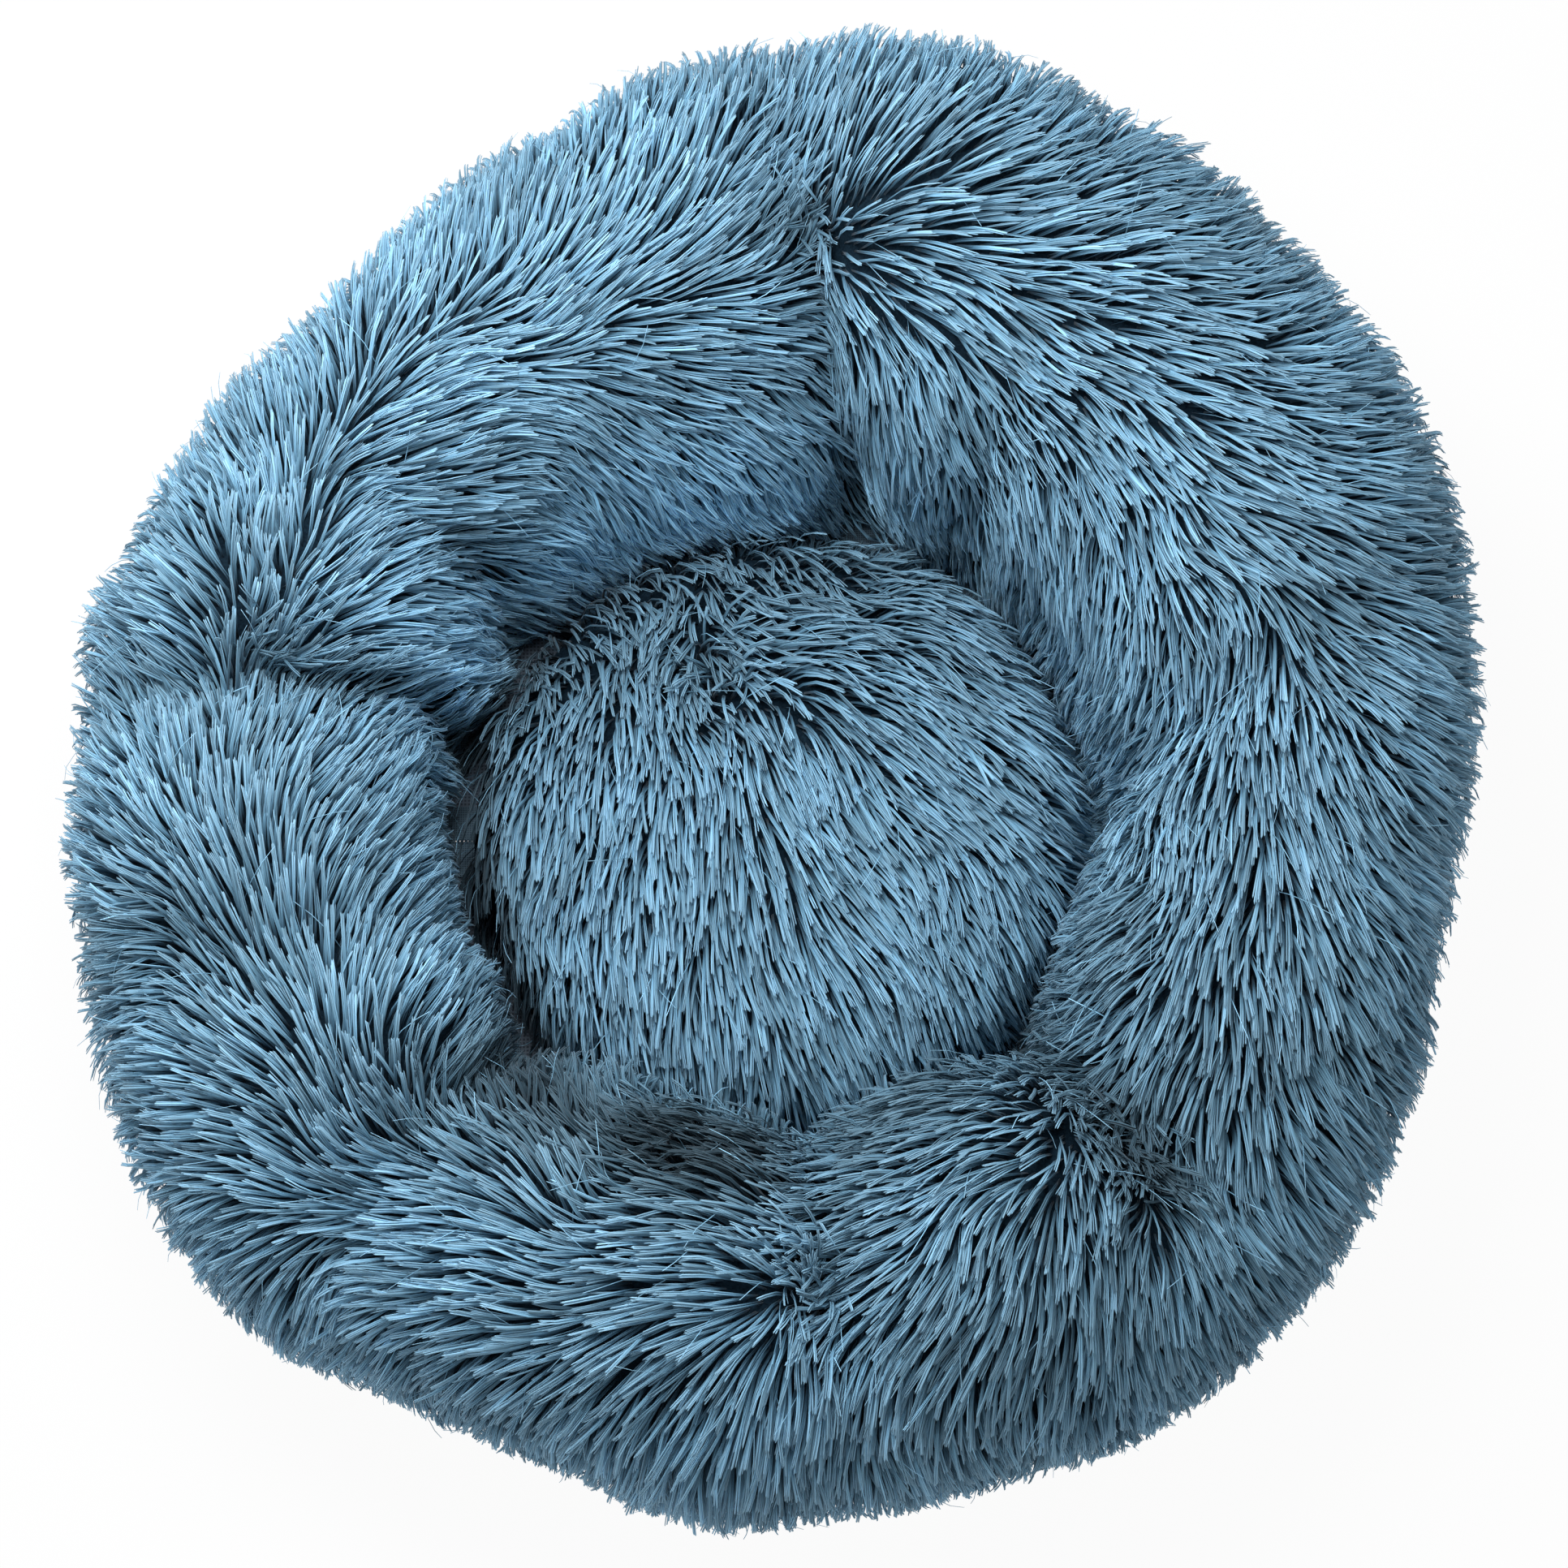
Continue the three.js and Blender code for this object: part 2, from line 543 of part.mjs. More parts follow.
// Slider: two plates joined by a post between the two chains, with flanges and a bridge for the pull tab
function sliderBody() {
  const half = SLIDER_LENGTH / 2;
  const outline = new THREE.Shape();
  outline.moveTo(half, -SLIDER_HALF_WIDTH + SLIDER_CORNER);
  outline.lineTo(half, SLIDER_HALF_WIDTH - SLIDER_CORNER);
  outline.lineTo(half - SLIDER_CORNER, SLIDER_HALF_WIDTH);
  outline.lineTo(0, SLIDER_HALF_WIDTH);
  outline.lineTo(-half + SLIDER_CORNER, SLIDER_WAIST_HALF_WIDTH);
  outline.lineTo(-half, SLIDER_WAIST_HALF_WIDTH - SLIDER_CORNER);
  outline.lineTo(-half, -SLIDER_WAIST_HALF_WIDTH + SLIDER_CORNER);
  outline.lineTo(-half + SLIDER_CORNER, -SLIDER_WAIST_HALF_WIDTH);
  outline.lineTo(0, -SLIDER_HALF_WIDTH);
  outline.lineTo(half - SLIDER_CORNER, -SLIDER_HALF_WIDTH);
  const lower = plate(outline, plateFloor, plateTop);
  const upper = plate(outline, upperPlateFloor, upperPlateTop);
  const postStart = half - POST_LENGTH;
  const post = block([postStart, -POST_WIDTH / 2, plateFloor], [half, POST_WIDTH / 2, upperPlateTop]);
  const flangeTop = tapeFloor - SLIDER_CLEARANCE;
  const channel = SLIDER_WAIST_HALF_WIDTH - FLANGE_WALL;
  const channelHollow = block([-half, -channel, plateTop], [half, channel, flangeTop]);
  const mouthHollow = block(
    [half - SLIDER_CORNER, -SLIDER_HALF_WIDTH, plateTop],
    [half, SLIDER_HALF_WIDTH, flangeTop],
  );
  const flanges = plate(outline, plateFloor, flangeTop).subtract(channelHollow).subtract(mouthHollow);
  const bridge = block(
    [-BRIDGE_LENGTH / 2, -BRIDGE_WIDTH / 2, bridgeFloor],
    [BRIDGE_LENGTH / 2, BRIDGE_WIDTH / 2, plateTop],
  );
  const opening = block(
    [-BRIDGE_LENGTH / 2 + BRIDGE_LEG, -BRIDGE_WIDTH, bridgeFloor + BRIDGE_BAR],
    [BRIDGE_LENGTH / 2 - BRIDGE_LEG, BRIDGE_WIDTH, plateFloor],
  );
  return lower.add(upper).add(post).add(flanges).add(bridge.subtract(opening));
}

// Pull tab: a plate whose window rides on the bridge; its bar lies in the bridge's opening
function tabBody() {
  const bar = TAB_THICKNESS / 2;
  const windowHalf = BRIDGE_WIDTH / 2 + TAB_SIDE_CLEARANCE;
  const windowEnd = BRIDGE_LENGTH / 2 + TAB_WINDOW_ROOM;
  const outline = roundedBar(new THREE.Shape(), -bar, TAB_LENGTH, TAB_HALF_WIDTH, bar + TAB_CORNER / 2);
  const window = new THREE.Path();
  window.moveTo(bar, -windowHalf);
  window.lineTo(bar, windowHalf);
  window.lineTo(windowEnd, windowHalf);
  window.lineTo(windowEnd, -windowHalf);
  outline.holes.push(window);
  const holeEnd = TAB_LENGTH - TAB_HOLE_END;
  const holeStart = holeEnd - TAB_HOLE_LENGTH;
  outline.holes.push(roundedBar(new THREE.Path(), holeStart, holeEnd, TAB_HOLE_HALF_WIDTH, TAB_CORNER));
  return plate(outline, hingeHeight - TAB_THICKNESS / 2, hingeHeight + TAB_THICKNESS / 2);
}

// Materials
const fur = { color: 0x6f9dbd, roughness: 0.85, metalness: 0 };
const lining = { color: 0xe6e6e2, roughness: 0.9, metalness: 0 };
const stuffing = { color: 0xf4f4f0, roughness: 1, metalness: 0 };
const baseFabric = { color: 0x3d4a57, roughness: 0.75, metalness: 0 };
const tapeFabric = { color: 0x4a6478, roughness: 0.8, metalness: 0 };
const nylon = { color: 0x55718a, roughness: 0.45, metalness: 0 };
const zipMetal = { color: 0xb8bcc0, roughness: 0.3, metalness: 1 };

// The bed, moved so that the middle of its box is over the origin
const bed = new THREE.Group();
const box = new THREE.Box3();
for (const panel of [farPanel, nearPanel]) {
  const geometry = geometryOf(panel);
  geometry.computeBoundingBox();
  box.union(geometry.boundingBox);
}
const middle = box.getCenter(new THREE.Vector3());
bed.position.set(-middle.x, -middle.y, 0);

function addPiece(name, manifold, material, parent = bed) {
  const mesh = new THREE.Mesh(geometryOf(manifold), new THREE.MeshStandardMaterial(material));
  mesh.name = name;
  parent.add(mesh);
  return mesh;
}

addPiece('bolster_cover_short', farPanel, fur);
addPiece('bolster_cover_long', nearPanel, fur);
addPiece('bolster_liner_upper', bolsterLinerUpper, lining);
addPiece('bolster_liner_lower', bolsterLinerLower, lining);
addPiece('bolster_fill', bolsterFill, stuffing);
addPiece('cushion_cover', cushionCover, fur);
addPiece('cushion_liner_upper', cushionLinerUpper, lining);
addPiece('cushion_liner_lower', cushionLinerLower, lining);
addPiece('cushion_fill', cushionFill, stuffing);
addPiece('nest_seam_tape_near', seamTape.intersect(nearSide(0)), tapeFabric);
addPiece('nest_seam_tape_far', seamTape.intersect(farSide(0)), tapeFabric);
addPiece('base_panel_near', baseCloth.intersect(nearSide(SEAM_GAP)), baseFabric);
addPiece('base_panel_far', baseCloth.intersect(farSide(SEAM_GAP)), baseFabric);
addPiece('base_binding', baseBinding, tapeFabric);
addPiece('zip_tape_near', zipTape(-1), tapeFabric);
addPiece('zip_tape_far', zipTape(1), tapeFabric);
addPiece('zip_coil_near', zipCoil(-1), nylon);
addPiece('zip_coil_far', zipCoil(1), nylon);
addPiece('zip_top_stop_near', topStop(-1), zipMetal);
addPiece('zip_top_stop_far', topStop(1), zipMetal);
addPiece('zip_bottom_stop', bottomStop(), zipMetal);
addPiece('zip_end_tab_left', endTab(-1), tapeFabric);
addPiece('zip_end_tab_right', endTab(1), tapeFabric);

// The slider and its pull tab stand at the closed end of the zip
const runner = new THREE.Group();
runner.position.set(hingeX, 0, 0);
bed.add(runner);
addPiece('zip_slider', sliderBody(), zipMetal, runner);
addPiece('zip_pull_tab', tabBody(), zipMetal, runner);

export default bed;
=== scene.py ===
# Round dog bed with long shag pile: a stuffed ring round a stuffed cushion, on a base cloth with a zip.
# Shapes are worked out in millimetres about the middle of the nest, and written in metres at the bed's place.

import math

import bpy
import numpy as np
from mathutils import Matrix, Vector
from mathutils.kdtree import KDTree


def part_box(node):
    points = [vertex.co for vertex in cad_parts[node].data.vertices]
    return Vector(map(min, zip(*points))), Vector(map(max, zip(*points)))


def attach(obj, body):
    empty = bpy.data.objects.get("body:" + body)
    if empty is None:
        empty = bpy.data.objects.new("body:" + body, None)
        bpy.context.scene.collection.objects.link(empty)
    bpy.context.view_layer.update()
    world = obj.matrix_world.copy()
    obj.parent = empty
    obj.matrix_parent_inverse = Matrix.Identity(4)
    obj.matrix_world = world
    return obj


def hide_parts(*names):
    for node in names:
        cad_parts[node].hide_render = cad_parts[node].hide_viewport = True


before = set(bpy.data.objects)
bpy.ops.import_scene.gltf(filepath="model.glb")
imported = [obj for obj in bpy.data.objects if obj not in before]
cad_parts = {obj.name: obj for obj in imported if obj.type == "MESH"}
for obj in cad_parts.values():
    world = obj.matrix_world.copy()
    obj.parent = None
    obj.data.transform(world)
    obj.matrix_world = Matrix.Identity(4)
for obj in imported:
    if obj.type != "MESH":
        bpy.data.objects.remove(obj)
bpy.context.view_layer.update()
rng = np.random.default_rng(11)

MM = 0.001

# Bolster ring, measured over the laid pile
OUTER_RADIUS = 300
NEST_RADIUS = 134
BED_HEIGHT = 190
FUR_THICKNESS = 17
CREASE_DEPTH = 26

# Centre cushion, measured over the laid pile
CUSHION_GAP = 5
CUSHION_HEIGHT = 76
CUSHION_SHOULDER = 36
CUSHION_FLARE = 10
DENT_DEPTH = 9
DENT_RADIUS = 26

# Cloths and the room between layers
BASE_CLOTH = 1
LINER_CLOTH = 1.5
LAYER_GAP = 1
SEAT_GAP = 0.3
SEAM_GAP = 0.3

# Zip and the pocket that it lies in
POCKET_DEPTH = 6.6
POCKET_HALF_WIDTH = 20
POCKET_RAMP = 12
POCKET_END_ROOM = 5
POCKET_HEADROOM = 4.2
POCKET_MARGIN = 10
SLOT_HALF_WIDTH = 7.5
END_TAB_LENGTH = 8

# Plan outline of the ring every 15 degrees, and height of its crown every 30 degrees
OUTLINE_SHARES = np.array([
    0.938, 0.986, 1.026, 1.041, 1.077, 1.095, 1.075, 0.998, 0.932, 0.895, 0.921, 0.937,
    0.935, 0.939, 0.973, 0.99, 0.941, 0.942, 0.968, 0.963, 0.984, 0.98, 0.948, 0.914,
])
CROWN_SHARES = np.array([0.98, 1, 1, 0.97, 1, 0.98, 0.96, 0.98, 0.94, 0.94, 0.97, 0.95])

# Creases: angles and depth shares at the nest, the crown and the outside, and half the width in degrees
CREASES = {
    "right_upper": ((46, 60, 65), (0.35, 0.35, 0.1), 6),
    "far_seam": ((67, 86, 88), (0.65, 1, 0.3), 6),
    "left_upper": ((136, 150, 154), (0.6, 0.4, 0.1), 6),
    "left_seam": ((159, 174, 172), (0.6, 0.9, 0.6), 6),
    "left_lower": ((208, 205, 195), (0, 0.4, 0.55), 6),
    "near_left": ((226, 230, 232), (0.7, 0.85, 0.4), 7),
    "near_middle": ((276, 276, 276), (0.3, 0.6, 0.4), 6),
    "near_right": ((313, 311, 308), (0.5, 1, 0.3), 8),
    "right_lower": ((350, 368, 378), (0.6, 0.55, 0.25), 7),
}
CREASE_SHARPNESS = 1.5
INNER_FADE = (0, 0.25)
OUTER_FADE = (0.55, 0.8)

# Hollows in the ring, where the pile parts in a whorl: pixel right and down, depth and radius
HOLLOWS = {
    "far_seam": (1000, 290, 12, 16),
    "left_seam": (350, 818, 11, 16),
    "left_lower": (240, 1165, 8, 14),
    "near_left": (500, 1350, 9, 20),
    "near_middle": (1012, 1580, 10, 16),
    "near_right": (1392, 1400, 13, 24),
}

# Cross section of the ring
INNER_END_ANGLE = 246
OUTER_END_ANGLE = -70
SECTION_TURN = INNER_END_ANGLE - OUTER_END_ANGLE
FULL_TURN = 360
UPPER_SQUARENESS = 2.15
INNER_SQUARENESS = 8
OUTER_SQUARENESS = 4

# Cross section of the cushion, and its dent
CUSHION_SQUARENESS = 2.9
CUSHION_FOOT = 1.3
DENT_PLACE_SHARES = (-0.2, 0.3)

# Heights worked out from the floor up
COVER_FLOOR = BASE_CLOTH + SEAT_GAP
LINER_FLOOR = COVER_FLOOR + LAYER_GAP
FILL_FLOOR = LINER_FLOOR + LINER_CLOTH + LAYER_GAP
LINER_INSET = FUR_THICKNESS + LAYER_GAP
FILL_INSET = LINER_INSET + LINER_CLOTH + LAYER_GAP
BACKING_INSET = 12
BACKING_CLOTH = 1.5

# Place of the nest's middle, and the zip's measures, from the frame
tape_low, tape_high = (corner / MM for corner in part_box("zip_tape_near"))
stop_low, stop_high = (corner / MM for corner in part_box("zip_bottom_stop"))
NEST = Vector(((tape_low.x + tape_high.x) / 2, (stop_low.y + stop_high.y) / 2, 0))
TAPE_HALF_LENGTH = (tape_high.x - tape_low.x) / 2
POCKET_HALF_LENGTH = TAPE_HALF_LENGTH + POCKET_END_ROOM

# Camera: its height over the horizon, its distance from the point under it, and where it looks
CAMERA_ELEVATION = 74
CAMERA_DISTANCE = 1350
CAMERA_STANDS_OVER = Vector((0, -9, 60))
CAMERA_LOOKS_AT = Vector((5.5, 7.1, 64.6))
PHOTO_PIXELS = 1932
FOCAL_PIXELS = 4022
SENSOR_WIDTH = 36


def add_camera():
    rise = math.radians(CAMERA_ELEVATION)
    back = Vector((0, -math.cos(rise), math.sin(rise)))
    place = CAMERA_STANDS_OVER + CAMERA_DISTANCE * back
    data = bpy.data.cameras.new("photo_camera")
    data.sensor_width = SENSOR_WIDTH
    data.lens = SENSOR_WIDTH * FOCAL_PIXELS / PHOTO_PIXELS
    camera = bpy.data.objects.new("photo_camera", data)
    bpy.context.scene.collection.objects.link(camera)
    camera.location = (place + NEST) * MM
    turn = (CAMERA_LOOKS_AT - place).to_track_quat("-Z", "Y")
    camera.rotation_euler = turn.to_euler()
    bpy.context.scene.camera = camera
    return np.array(place), np.array(turn.to_matrix())


EYE, EYE_AXES = add_camera()


def corners_of(node):
    """The two corners of a CAD node's box, about the nest's middle."""
    return (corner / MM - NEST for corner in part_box(node))


def to_photo(points):
    """Pixel right and pixel down, in the photograph's frame, of points about the nest's middle."""
    seen = (points - EYE) @ EYE_AXES
    scale = FOCAL_PIXELS / -seen[..., 2]
    middle = PHOTO_PIXELS / 2
    return middle + seen[..., 0] * scale, middle - seen[..., 1] * scale


# Small helpers on arrays

def unit(vectors):
    return vectors / np.maximum(np.linalg.norm(vectors, axis=-1, keepdims=True), 1e-9)


def dot(a, b):
    return (a * b).sum(axis=-1, keepdims=True)


def joined(points, heights):
    """Points in plan with their heights."""
    return np.concatenate([points, np.broadcast_to(heights, points.shape[:-1])[..., None]], axis=-1)


def lerp(a, b, share):
    return a + (b - a) * share


def smooth_step(value, low, high):
    share = np.clip((value - low) / (high - low), 0, 1)
    return share * share * (3 - 2 * share)


def around(shares, degrees):
    """Smooth closed curve through evenly spaced shares."""
    count = len(shares)
    place = np.mod(degrees, FULL_TURN) * count / FULL_TURN
    start = np.floor(place).astype(int)
    f = place - start
    a, b, c, d = (shares[(start + step) % count] for step in (-1, 0, 1, 2))
    return b + f * (c - a + f * (2 * a - 5 * b + 4 * c - d + f * (3 * b - 3 * c + d - a))) / 2


def across(values, q):
    """Smooth curve through three values: at the nest, q = 0, the crown, 1/2, and the outside, 1."""
    at_nest, at_crown, at_outside = values
    return at_nest * (1 - q) * (1 - 2 * q) + at_crown * 4 * q * (1 - q) + at_outside * q * (2 * q - 1)


def wrapped(degrees):
    return degrees - FULL_TURN * np.round(degrees / FULL_TURN)


# The two soft shapes

def crease_sink(degrees, q):
    sink = 0
    for angles, depth_shares, half_width in CREASES.values():
        off = np.abs(wrapped(degrees - across(angles, q)) / half_width)
        depth = CREASE_DEPTH * np.maximum(0, across(depth_shares, q))
        sink = sink + depth * np.exp(-off ** CREASE_SHARPNESS)
    return sink * smooth_step(q, *INNER_FADE) * (1 - smooth_step(q, *OUTER_FADE))


def rounded(value, squareness):
    return np.sign(value) * np.abs(value) ** (2 / squareness)


def ring_shape(degrees, section_angle, sunk, floor):
    outer = OUTER_RADIUS * around(OUTLINE_SHARES, degrees)
    half = BED_HEIGHT * around(CROWN_SHARES, degrees) / 2
    sideways = np.cos(np.radians(section_angle))
    upward = np.sin(np.radians(section_angle))
    lower = np.where(sideways < 0, INNER_SQUARENESS, OUTER_SQUARENESS)
    squareness = np.where(upward > 0, UPPER_SQUARENESS, lower)
    radius = (outer + NEST_RADIUS) / 2 + rounded(sideways, squareness) * ((outer - NEST_RADIUS) / 2 - sunk)
    rise = rounded(upward, squareness) * np.where(upward > 0, half - sunk, half - floor)
    turn = np.radians(degrees)
    return np.stack([radius * np.cos(turn), radius * np.sin(turn), half + rise], axis=-1)


def find_on_ring(right, down):
    """The point of the ring's laid pile that shows at a pixel."""
    degrees, q = np.meshgrid(np.arange(0, FULL_TURN, 0.5), np.linspace(0.1, 0.9, 161), indexing="ij")
    shape = ring_shape(degrees, INNER_END_ANGLE - SECTION_TURN * q, crease_sink(degrees, q), COVER_FLOOR)
    here_right, here_down = to_photo(shape)
    normal = np.cross(np.gradient(shape, axis=1), np.gradient(shape, axis=0))
    hidden = dot(normal, EYE - shape)[..., 0] < 0
    nearest = np.argmin(np.hypot(here_right - right, here_down - down) + PHOTO_PIXELS * hidden)
    return shape.reshape(-1, 3)[nearest]


def ring_section(degrees, section_angle, inset, floor):
    """Points of the ring at angles round it and round its section, set in by `inset`."""
    turned = np.where(section_angle < INNER_END_ANGLE - FULL_TURN, section_angle + FULL_TURN, section_angle)
    q = np.clip((INNER_END_ANGLE - turned) / SECTION_TURN, 0, 1)
    sunk = crease_sink(degrees, q)
    shape = ring_shape(degrees, section_angle, sunk, floor)
    for place, depth, radius in HOLLOW_PLACES:
        off = np.linalg.norm(shape - place, axis=-1) / radius
        sunk = sunk + depth * np.exp(-off ** CREASE_SHARPNESS)
    return ring_shape(degrees, section_angle, sunk + inset, floor)


HOLLOW_PLACES = [
    (find_on_ring(right, down), depth, radius)
    for right, down, depth, radius in HOLLOWS.values()
]


def ring_skin(degrees, q, inset):
    return ring_section(degrees, INNER_END_ANGLE - SECTION_TURN * q, inset, COVER_FLOOR)


def cushion_skin(u, v, inset, floor=COVER_FLOOR):
    """Points of the cushion over a disc: its shoulder is at radius 1 and its foot at CUSHION_FOOT."""
    share = np.hypot(u, v)
    turn = np.arctan2(v, u)
    radius = NEST_RADIUS - CUSHION_GAP - inset
    crown = CUSHION_HEIGHT - CUSHION_SHOULDER - inset
    reach = np.sin(np.minimum(share, 1) * math.pi / 2)
    rise = (1 - np.minimum(reach, 1) ** CUSHION_SQUARENESS) ** (1 / CUSHION_SQUARENESS)
    down = np.clip((share - 1) / (CUSHION_FOOT - 1), 0, 1)
    x = (radius * reach + CUSHION_FLARE * down) * np.cos(turn)
    y = (radius * reach + CUSHION_FLARE * down) * np.sin(turn)
    dent_x, dent_y = (place * NEST_RADIUS for place in DENT_PLACE_SHARES)
    far = np.hypot(x - dent_x, y - dent_y) / DENT_RADIUS
    dome = crown * rise - DENT_DEPTH * rise * np.exp(-far * far)
    return np.stack([x, y, CUSHION_SHOULDER + dome - (CUSHION_SHOULDER - floor) * down], axis=-1)


def pocket_share(x, y, margin=0):
    """1 over the pocket across the underside, 0 outside it, sloping between."""
    off = np.maximum(np.abs(x) - POCKET_HALF_LENGTH, np.abs(y) - POCKET_HALF_WIDTH) - margin
    return np.clip(1 - off / POCKET_RAMP, 0, 1)


def over_pocket(points, floor):
    """Points moved up where they would reach into the room over the zip, or into the cloth round it."""
    lifted = points.copy()
    share = pocket_share(points[..., 0], points[..., 1], POCKET_MARGIN)
    room = floor + (POCKET_DEPTH + POCKET_HEADROOM) * share
    lifted[..., 2] = np.maximum(points[..., 2], room)
    return lifted


# Combing of the pile. Each mark is a pixel right, a pixel down and the way that the tips point there,
# in degrees: 0 is right and 90 is up. They were read one by one.
RING_COMBING = np.array([
    (111, 778, 135), (170, 715, 150), (265, 535, 110), (385, 440, 95), (512, 355, 75), (640, 260, 72),
    (767, 196, 75), (863, 196, 57), (703, 355, 45), (863, 323, 42), (895, 420, 2), (800, 450, -5),
    (895, 515, -28), (735, 546, -35), (575, 450, 0), (545, 546, 20), (450, 690, 25), (500, 620, 10),
    (930, 305, 45), (930, 400, 5), (350, 650, 92), (420, 700, 45), (560, 760, 0), (930, 90, 72),
    (995, 100, 62), (1120, 84, 60), (1220, 100, 48), (1315, 115, 35), (1120, 180, 38), (1220, 180, 18),
    (1155, 243, 8), (1250, 275, 0), (1187, 323, -10), (1125, 370, -35), (1315, 340, -15),
    (1315, 435, -35), (1220, 400, -35), (1090, 400, -65), (1060, 466, -78), (1155, 498, -65),
    (1334, 234, 10), (975, 235, 70), (1010, 225, 78), (1045, 240, 50), (1060, 290, 5), (1050, 325, -20),
    (1040, 370, -55), (1035, 430, -72), (955, 290, 42), (965, 340, 25), (980, 400, 0), (1000, 480, -18),
    (1035, 560, -40), (1435, 300, -3), (1537, 268, 8), (1570, 285, 18), (1604, 370, 8), (1400, 403, -20),
    (1503, 470, -25), (1638, 437, 0), (1672, 504, -5), (1740, 504, 5), (1435, 538, -40), (1537, 572, -28),
    (1672, 606, -20), (1773, 572, 0), (1773, 673, -10), (1368, 606, -60), (1334, 673, -75),
    (1503, 673, -35), (1638, 707, -30), (1350, 718, -80), (1334, 820, -98), (1400, 750, -80),
    (1368, 904, -110), (1400, 937, -128), (1537, 785, -80), (1503, 853, -95), (1604, 785, -60),
    (1706, 785, -40), (1773, 820, -32), (1740, 920, -45), (1604, 937, -85), (1672, 955, -70),
    (1469, 1005, -88), (1380, 1157, -140), (1494, 1176, -100), (1571, 1215, -85), (1647, 1176, -75),
    (1740, 1100, -50), (1533, 1291, -95), (1456, 1330, -105), (1609, 1330, -75), (1686, 1330, -60),
    (1686, 1425, -55), (1647, 1521, -45), (1571, 1483, -63), (1494, 1444, -80), (1494, 1560, -68),
    (1418, 1598, -88), (1571, 1598, -58), (1341, 1560, -103), (1265, 1636, -115), (1188, 1598, -122),
    (1226, 1521, -110), (1207, 1444, -145), (1226, 1368, -165), (1303, 1349, -150), (1350, 1440, -92),
    (1151, 1582, -118), (1089, 1459, -153), (1048, 1520, -155), (1065, 1580, -135), (1112, 1640, -122),
    (1030, 1767, -105), (1056, 1728, -102), (1210, 1784, -75), (1112, 1812, -60), (1300, 1784, -85),
    (1397, 1785, -78), (1582, 1631, -50), (1126, 1690, -120), (1281, 1690, -103), (785, 1490, 182),
    (813, 1560, 180), (827, 1448, 192), (850, 1600, 186), (900, 1500, 170), (900, 1560, 176),
    (965, 1500, 172), (965, 1560, 178), (930, 1635, 198), (827, 1659, 218), (960, 1665, 228),
    (639, 1707, 205), (697, 1751, 235), (727, 1692, 214), (859, 1721, 235), (873, 1765, 242),
    (800, 1780, 262), (844, 1839, 268), (888, 1824, 280), (917, 1868, 285), (932, 1707, 245),
    (985, 1692, 262), (955, 1760, 254), (960, 1809, 276), (1005, 1845, 295), (668, 1809, 245),
    (756, 1824, 266), (140, 889, 135), (203, 907, 100), (114, 961, 140), (167, 961, 116), (239, 943, 95),
    (292, 925, 80), (149, 1014, 125), (114, 1050, 150), (283, 979, 88), (340, 900, 68), (340, 1080, 92),
    (410, 930, 42), (506, 800, 5), (524, 1058, 42), (440, 1040, 60), (304, 1116, 110), (361, 1144, 95),
    (420, 1140, 78), (501, 1144, 58), (500, 1220, 70), (389, 1228, 105), (332, 1228, 124),
    (276, 1186, 130), (276, 1270, 137), (445, 1256, 98), (150, 1116, 178), (100, 1150, 180),
    (164, 1228, 195), (100, 1250, 190), (164, 1299, 200), (304, 1341, 150), (192, 1355, 182),
    (206, 1425, 190), (332, 1397, 155), (276, 1439, 172), (417, 1312, 120), (459, 1369, 115),
    (403, 1397, 122), (361, 1453, 158), (470, 1453, 168), (254, 1496, 195), (338, 1519, 197),
    (296, 1538, 215), (198, 1510, 215), (226, 1552, 230), (352, 1594, 242), (408, 1594, 258),
    (310, 1594, 235), (352, 1650, 225), (408, 1664, 235), (479, 1594, 190), (465, 1636, 212),
    (535, 1636, 186), (535, 1692, 202), (521, 1729, 250), (577, 1720, 240), (504, 1617, 190),
    (546, 1504, 175), (602, 1462, 155), (658, 1420, 136), (715, 1462, 118), (616, 1546, 162),
    (672, 1603, 168), (560, 1589, 170), (616, 1631, 176), (672, 1653, 188), (616, 1687, 200),
    (700, 1701, 214), (690, 1350, 110), (560, 1290, 60),
])
CUSHION_COMBING = np.array([
    (678, 864, -82), (702, 826, -75), (772, 789, -88), (749, 893, -88), (805, 798, -95), (843, 765, -102),
    (961, 779, 5), (961, 822, 8), (1008, 803, 2), (1055, 765, -12), (938, 671, -8), (961, 694, -75),
    (914, 709, -70), (999, 723, -60), (1032, 671, -20), (1079, 657, -15), (1103, 694, 0),
    (1103, 732, -35), (1150, 751, -40), (1197, 779, -36), (1173, 827, -45), (1244, 864, -40),
    (1079, 845, -40), (1022, 864, -55), (975, 883, -70), (890, 893, -85), (772, 742, -50),
    (725, 751, -20), (796, 723, -20), (640, 940, -100), (738, 907, -95), (796, 965, -95), (853, 926, -78),
    (910, 919, -75), (968, 907, -72), (1044, 907, -60), (1121, 907, -50), (1197, 907, -42),
    (1255, 926, -40), (738, 1041, -97), (815, 1041, -92), (891, 1034, -82), (968, 1022, -70),
    (1044, 1022, -62), (1121, 1003, -58), (1197, 1003, -52), (1255, 1022, -54), (1310, 1010, -48),
    (738, 1156, -88), (815, 1156, -88), (891, 1156, -80), (968, 1156, -68), (1044, 1156, -62),
    (1121, 1137, -67), (1197, 1156, -78), (1270, 1110, -68), (757, 1252, -88), (834, 1252, -82),
    (910, 1271, -80), (987, 1252, -66), (1064, 1252, -63), (1121, 1252, -68), (891, 1348, -76),
    (968, 1367, -80), (1044, 1328, -75), (1170, 1260, -75), (638, 1071, -85), (665, 1175, -80),
    (610, 1150, -75), (690, 1260, -80),
])

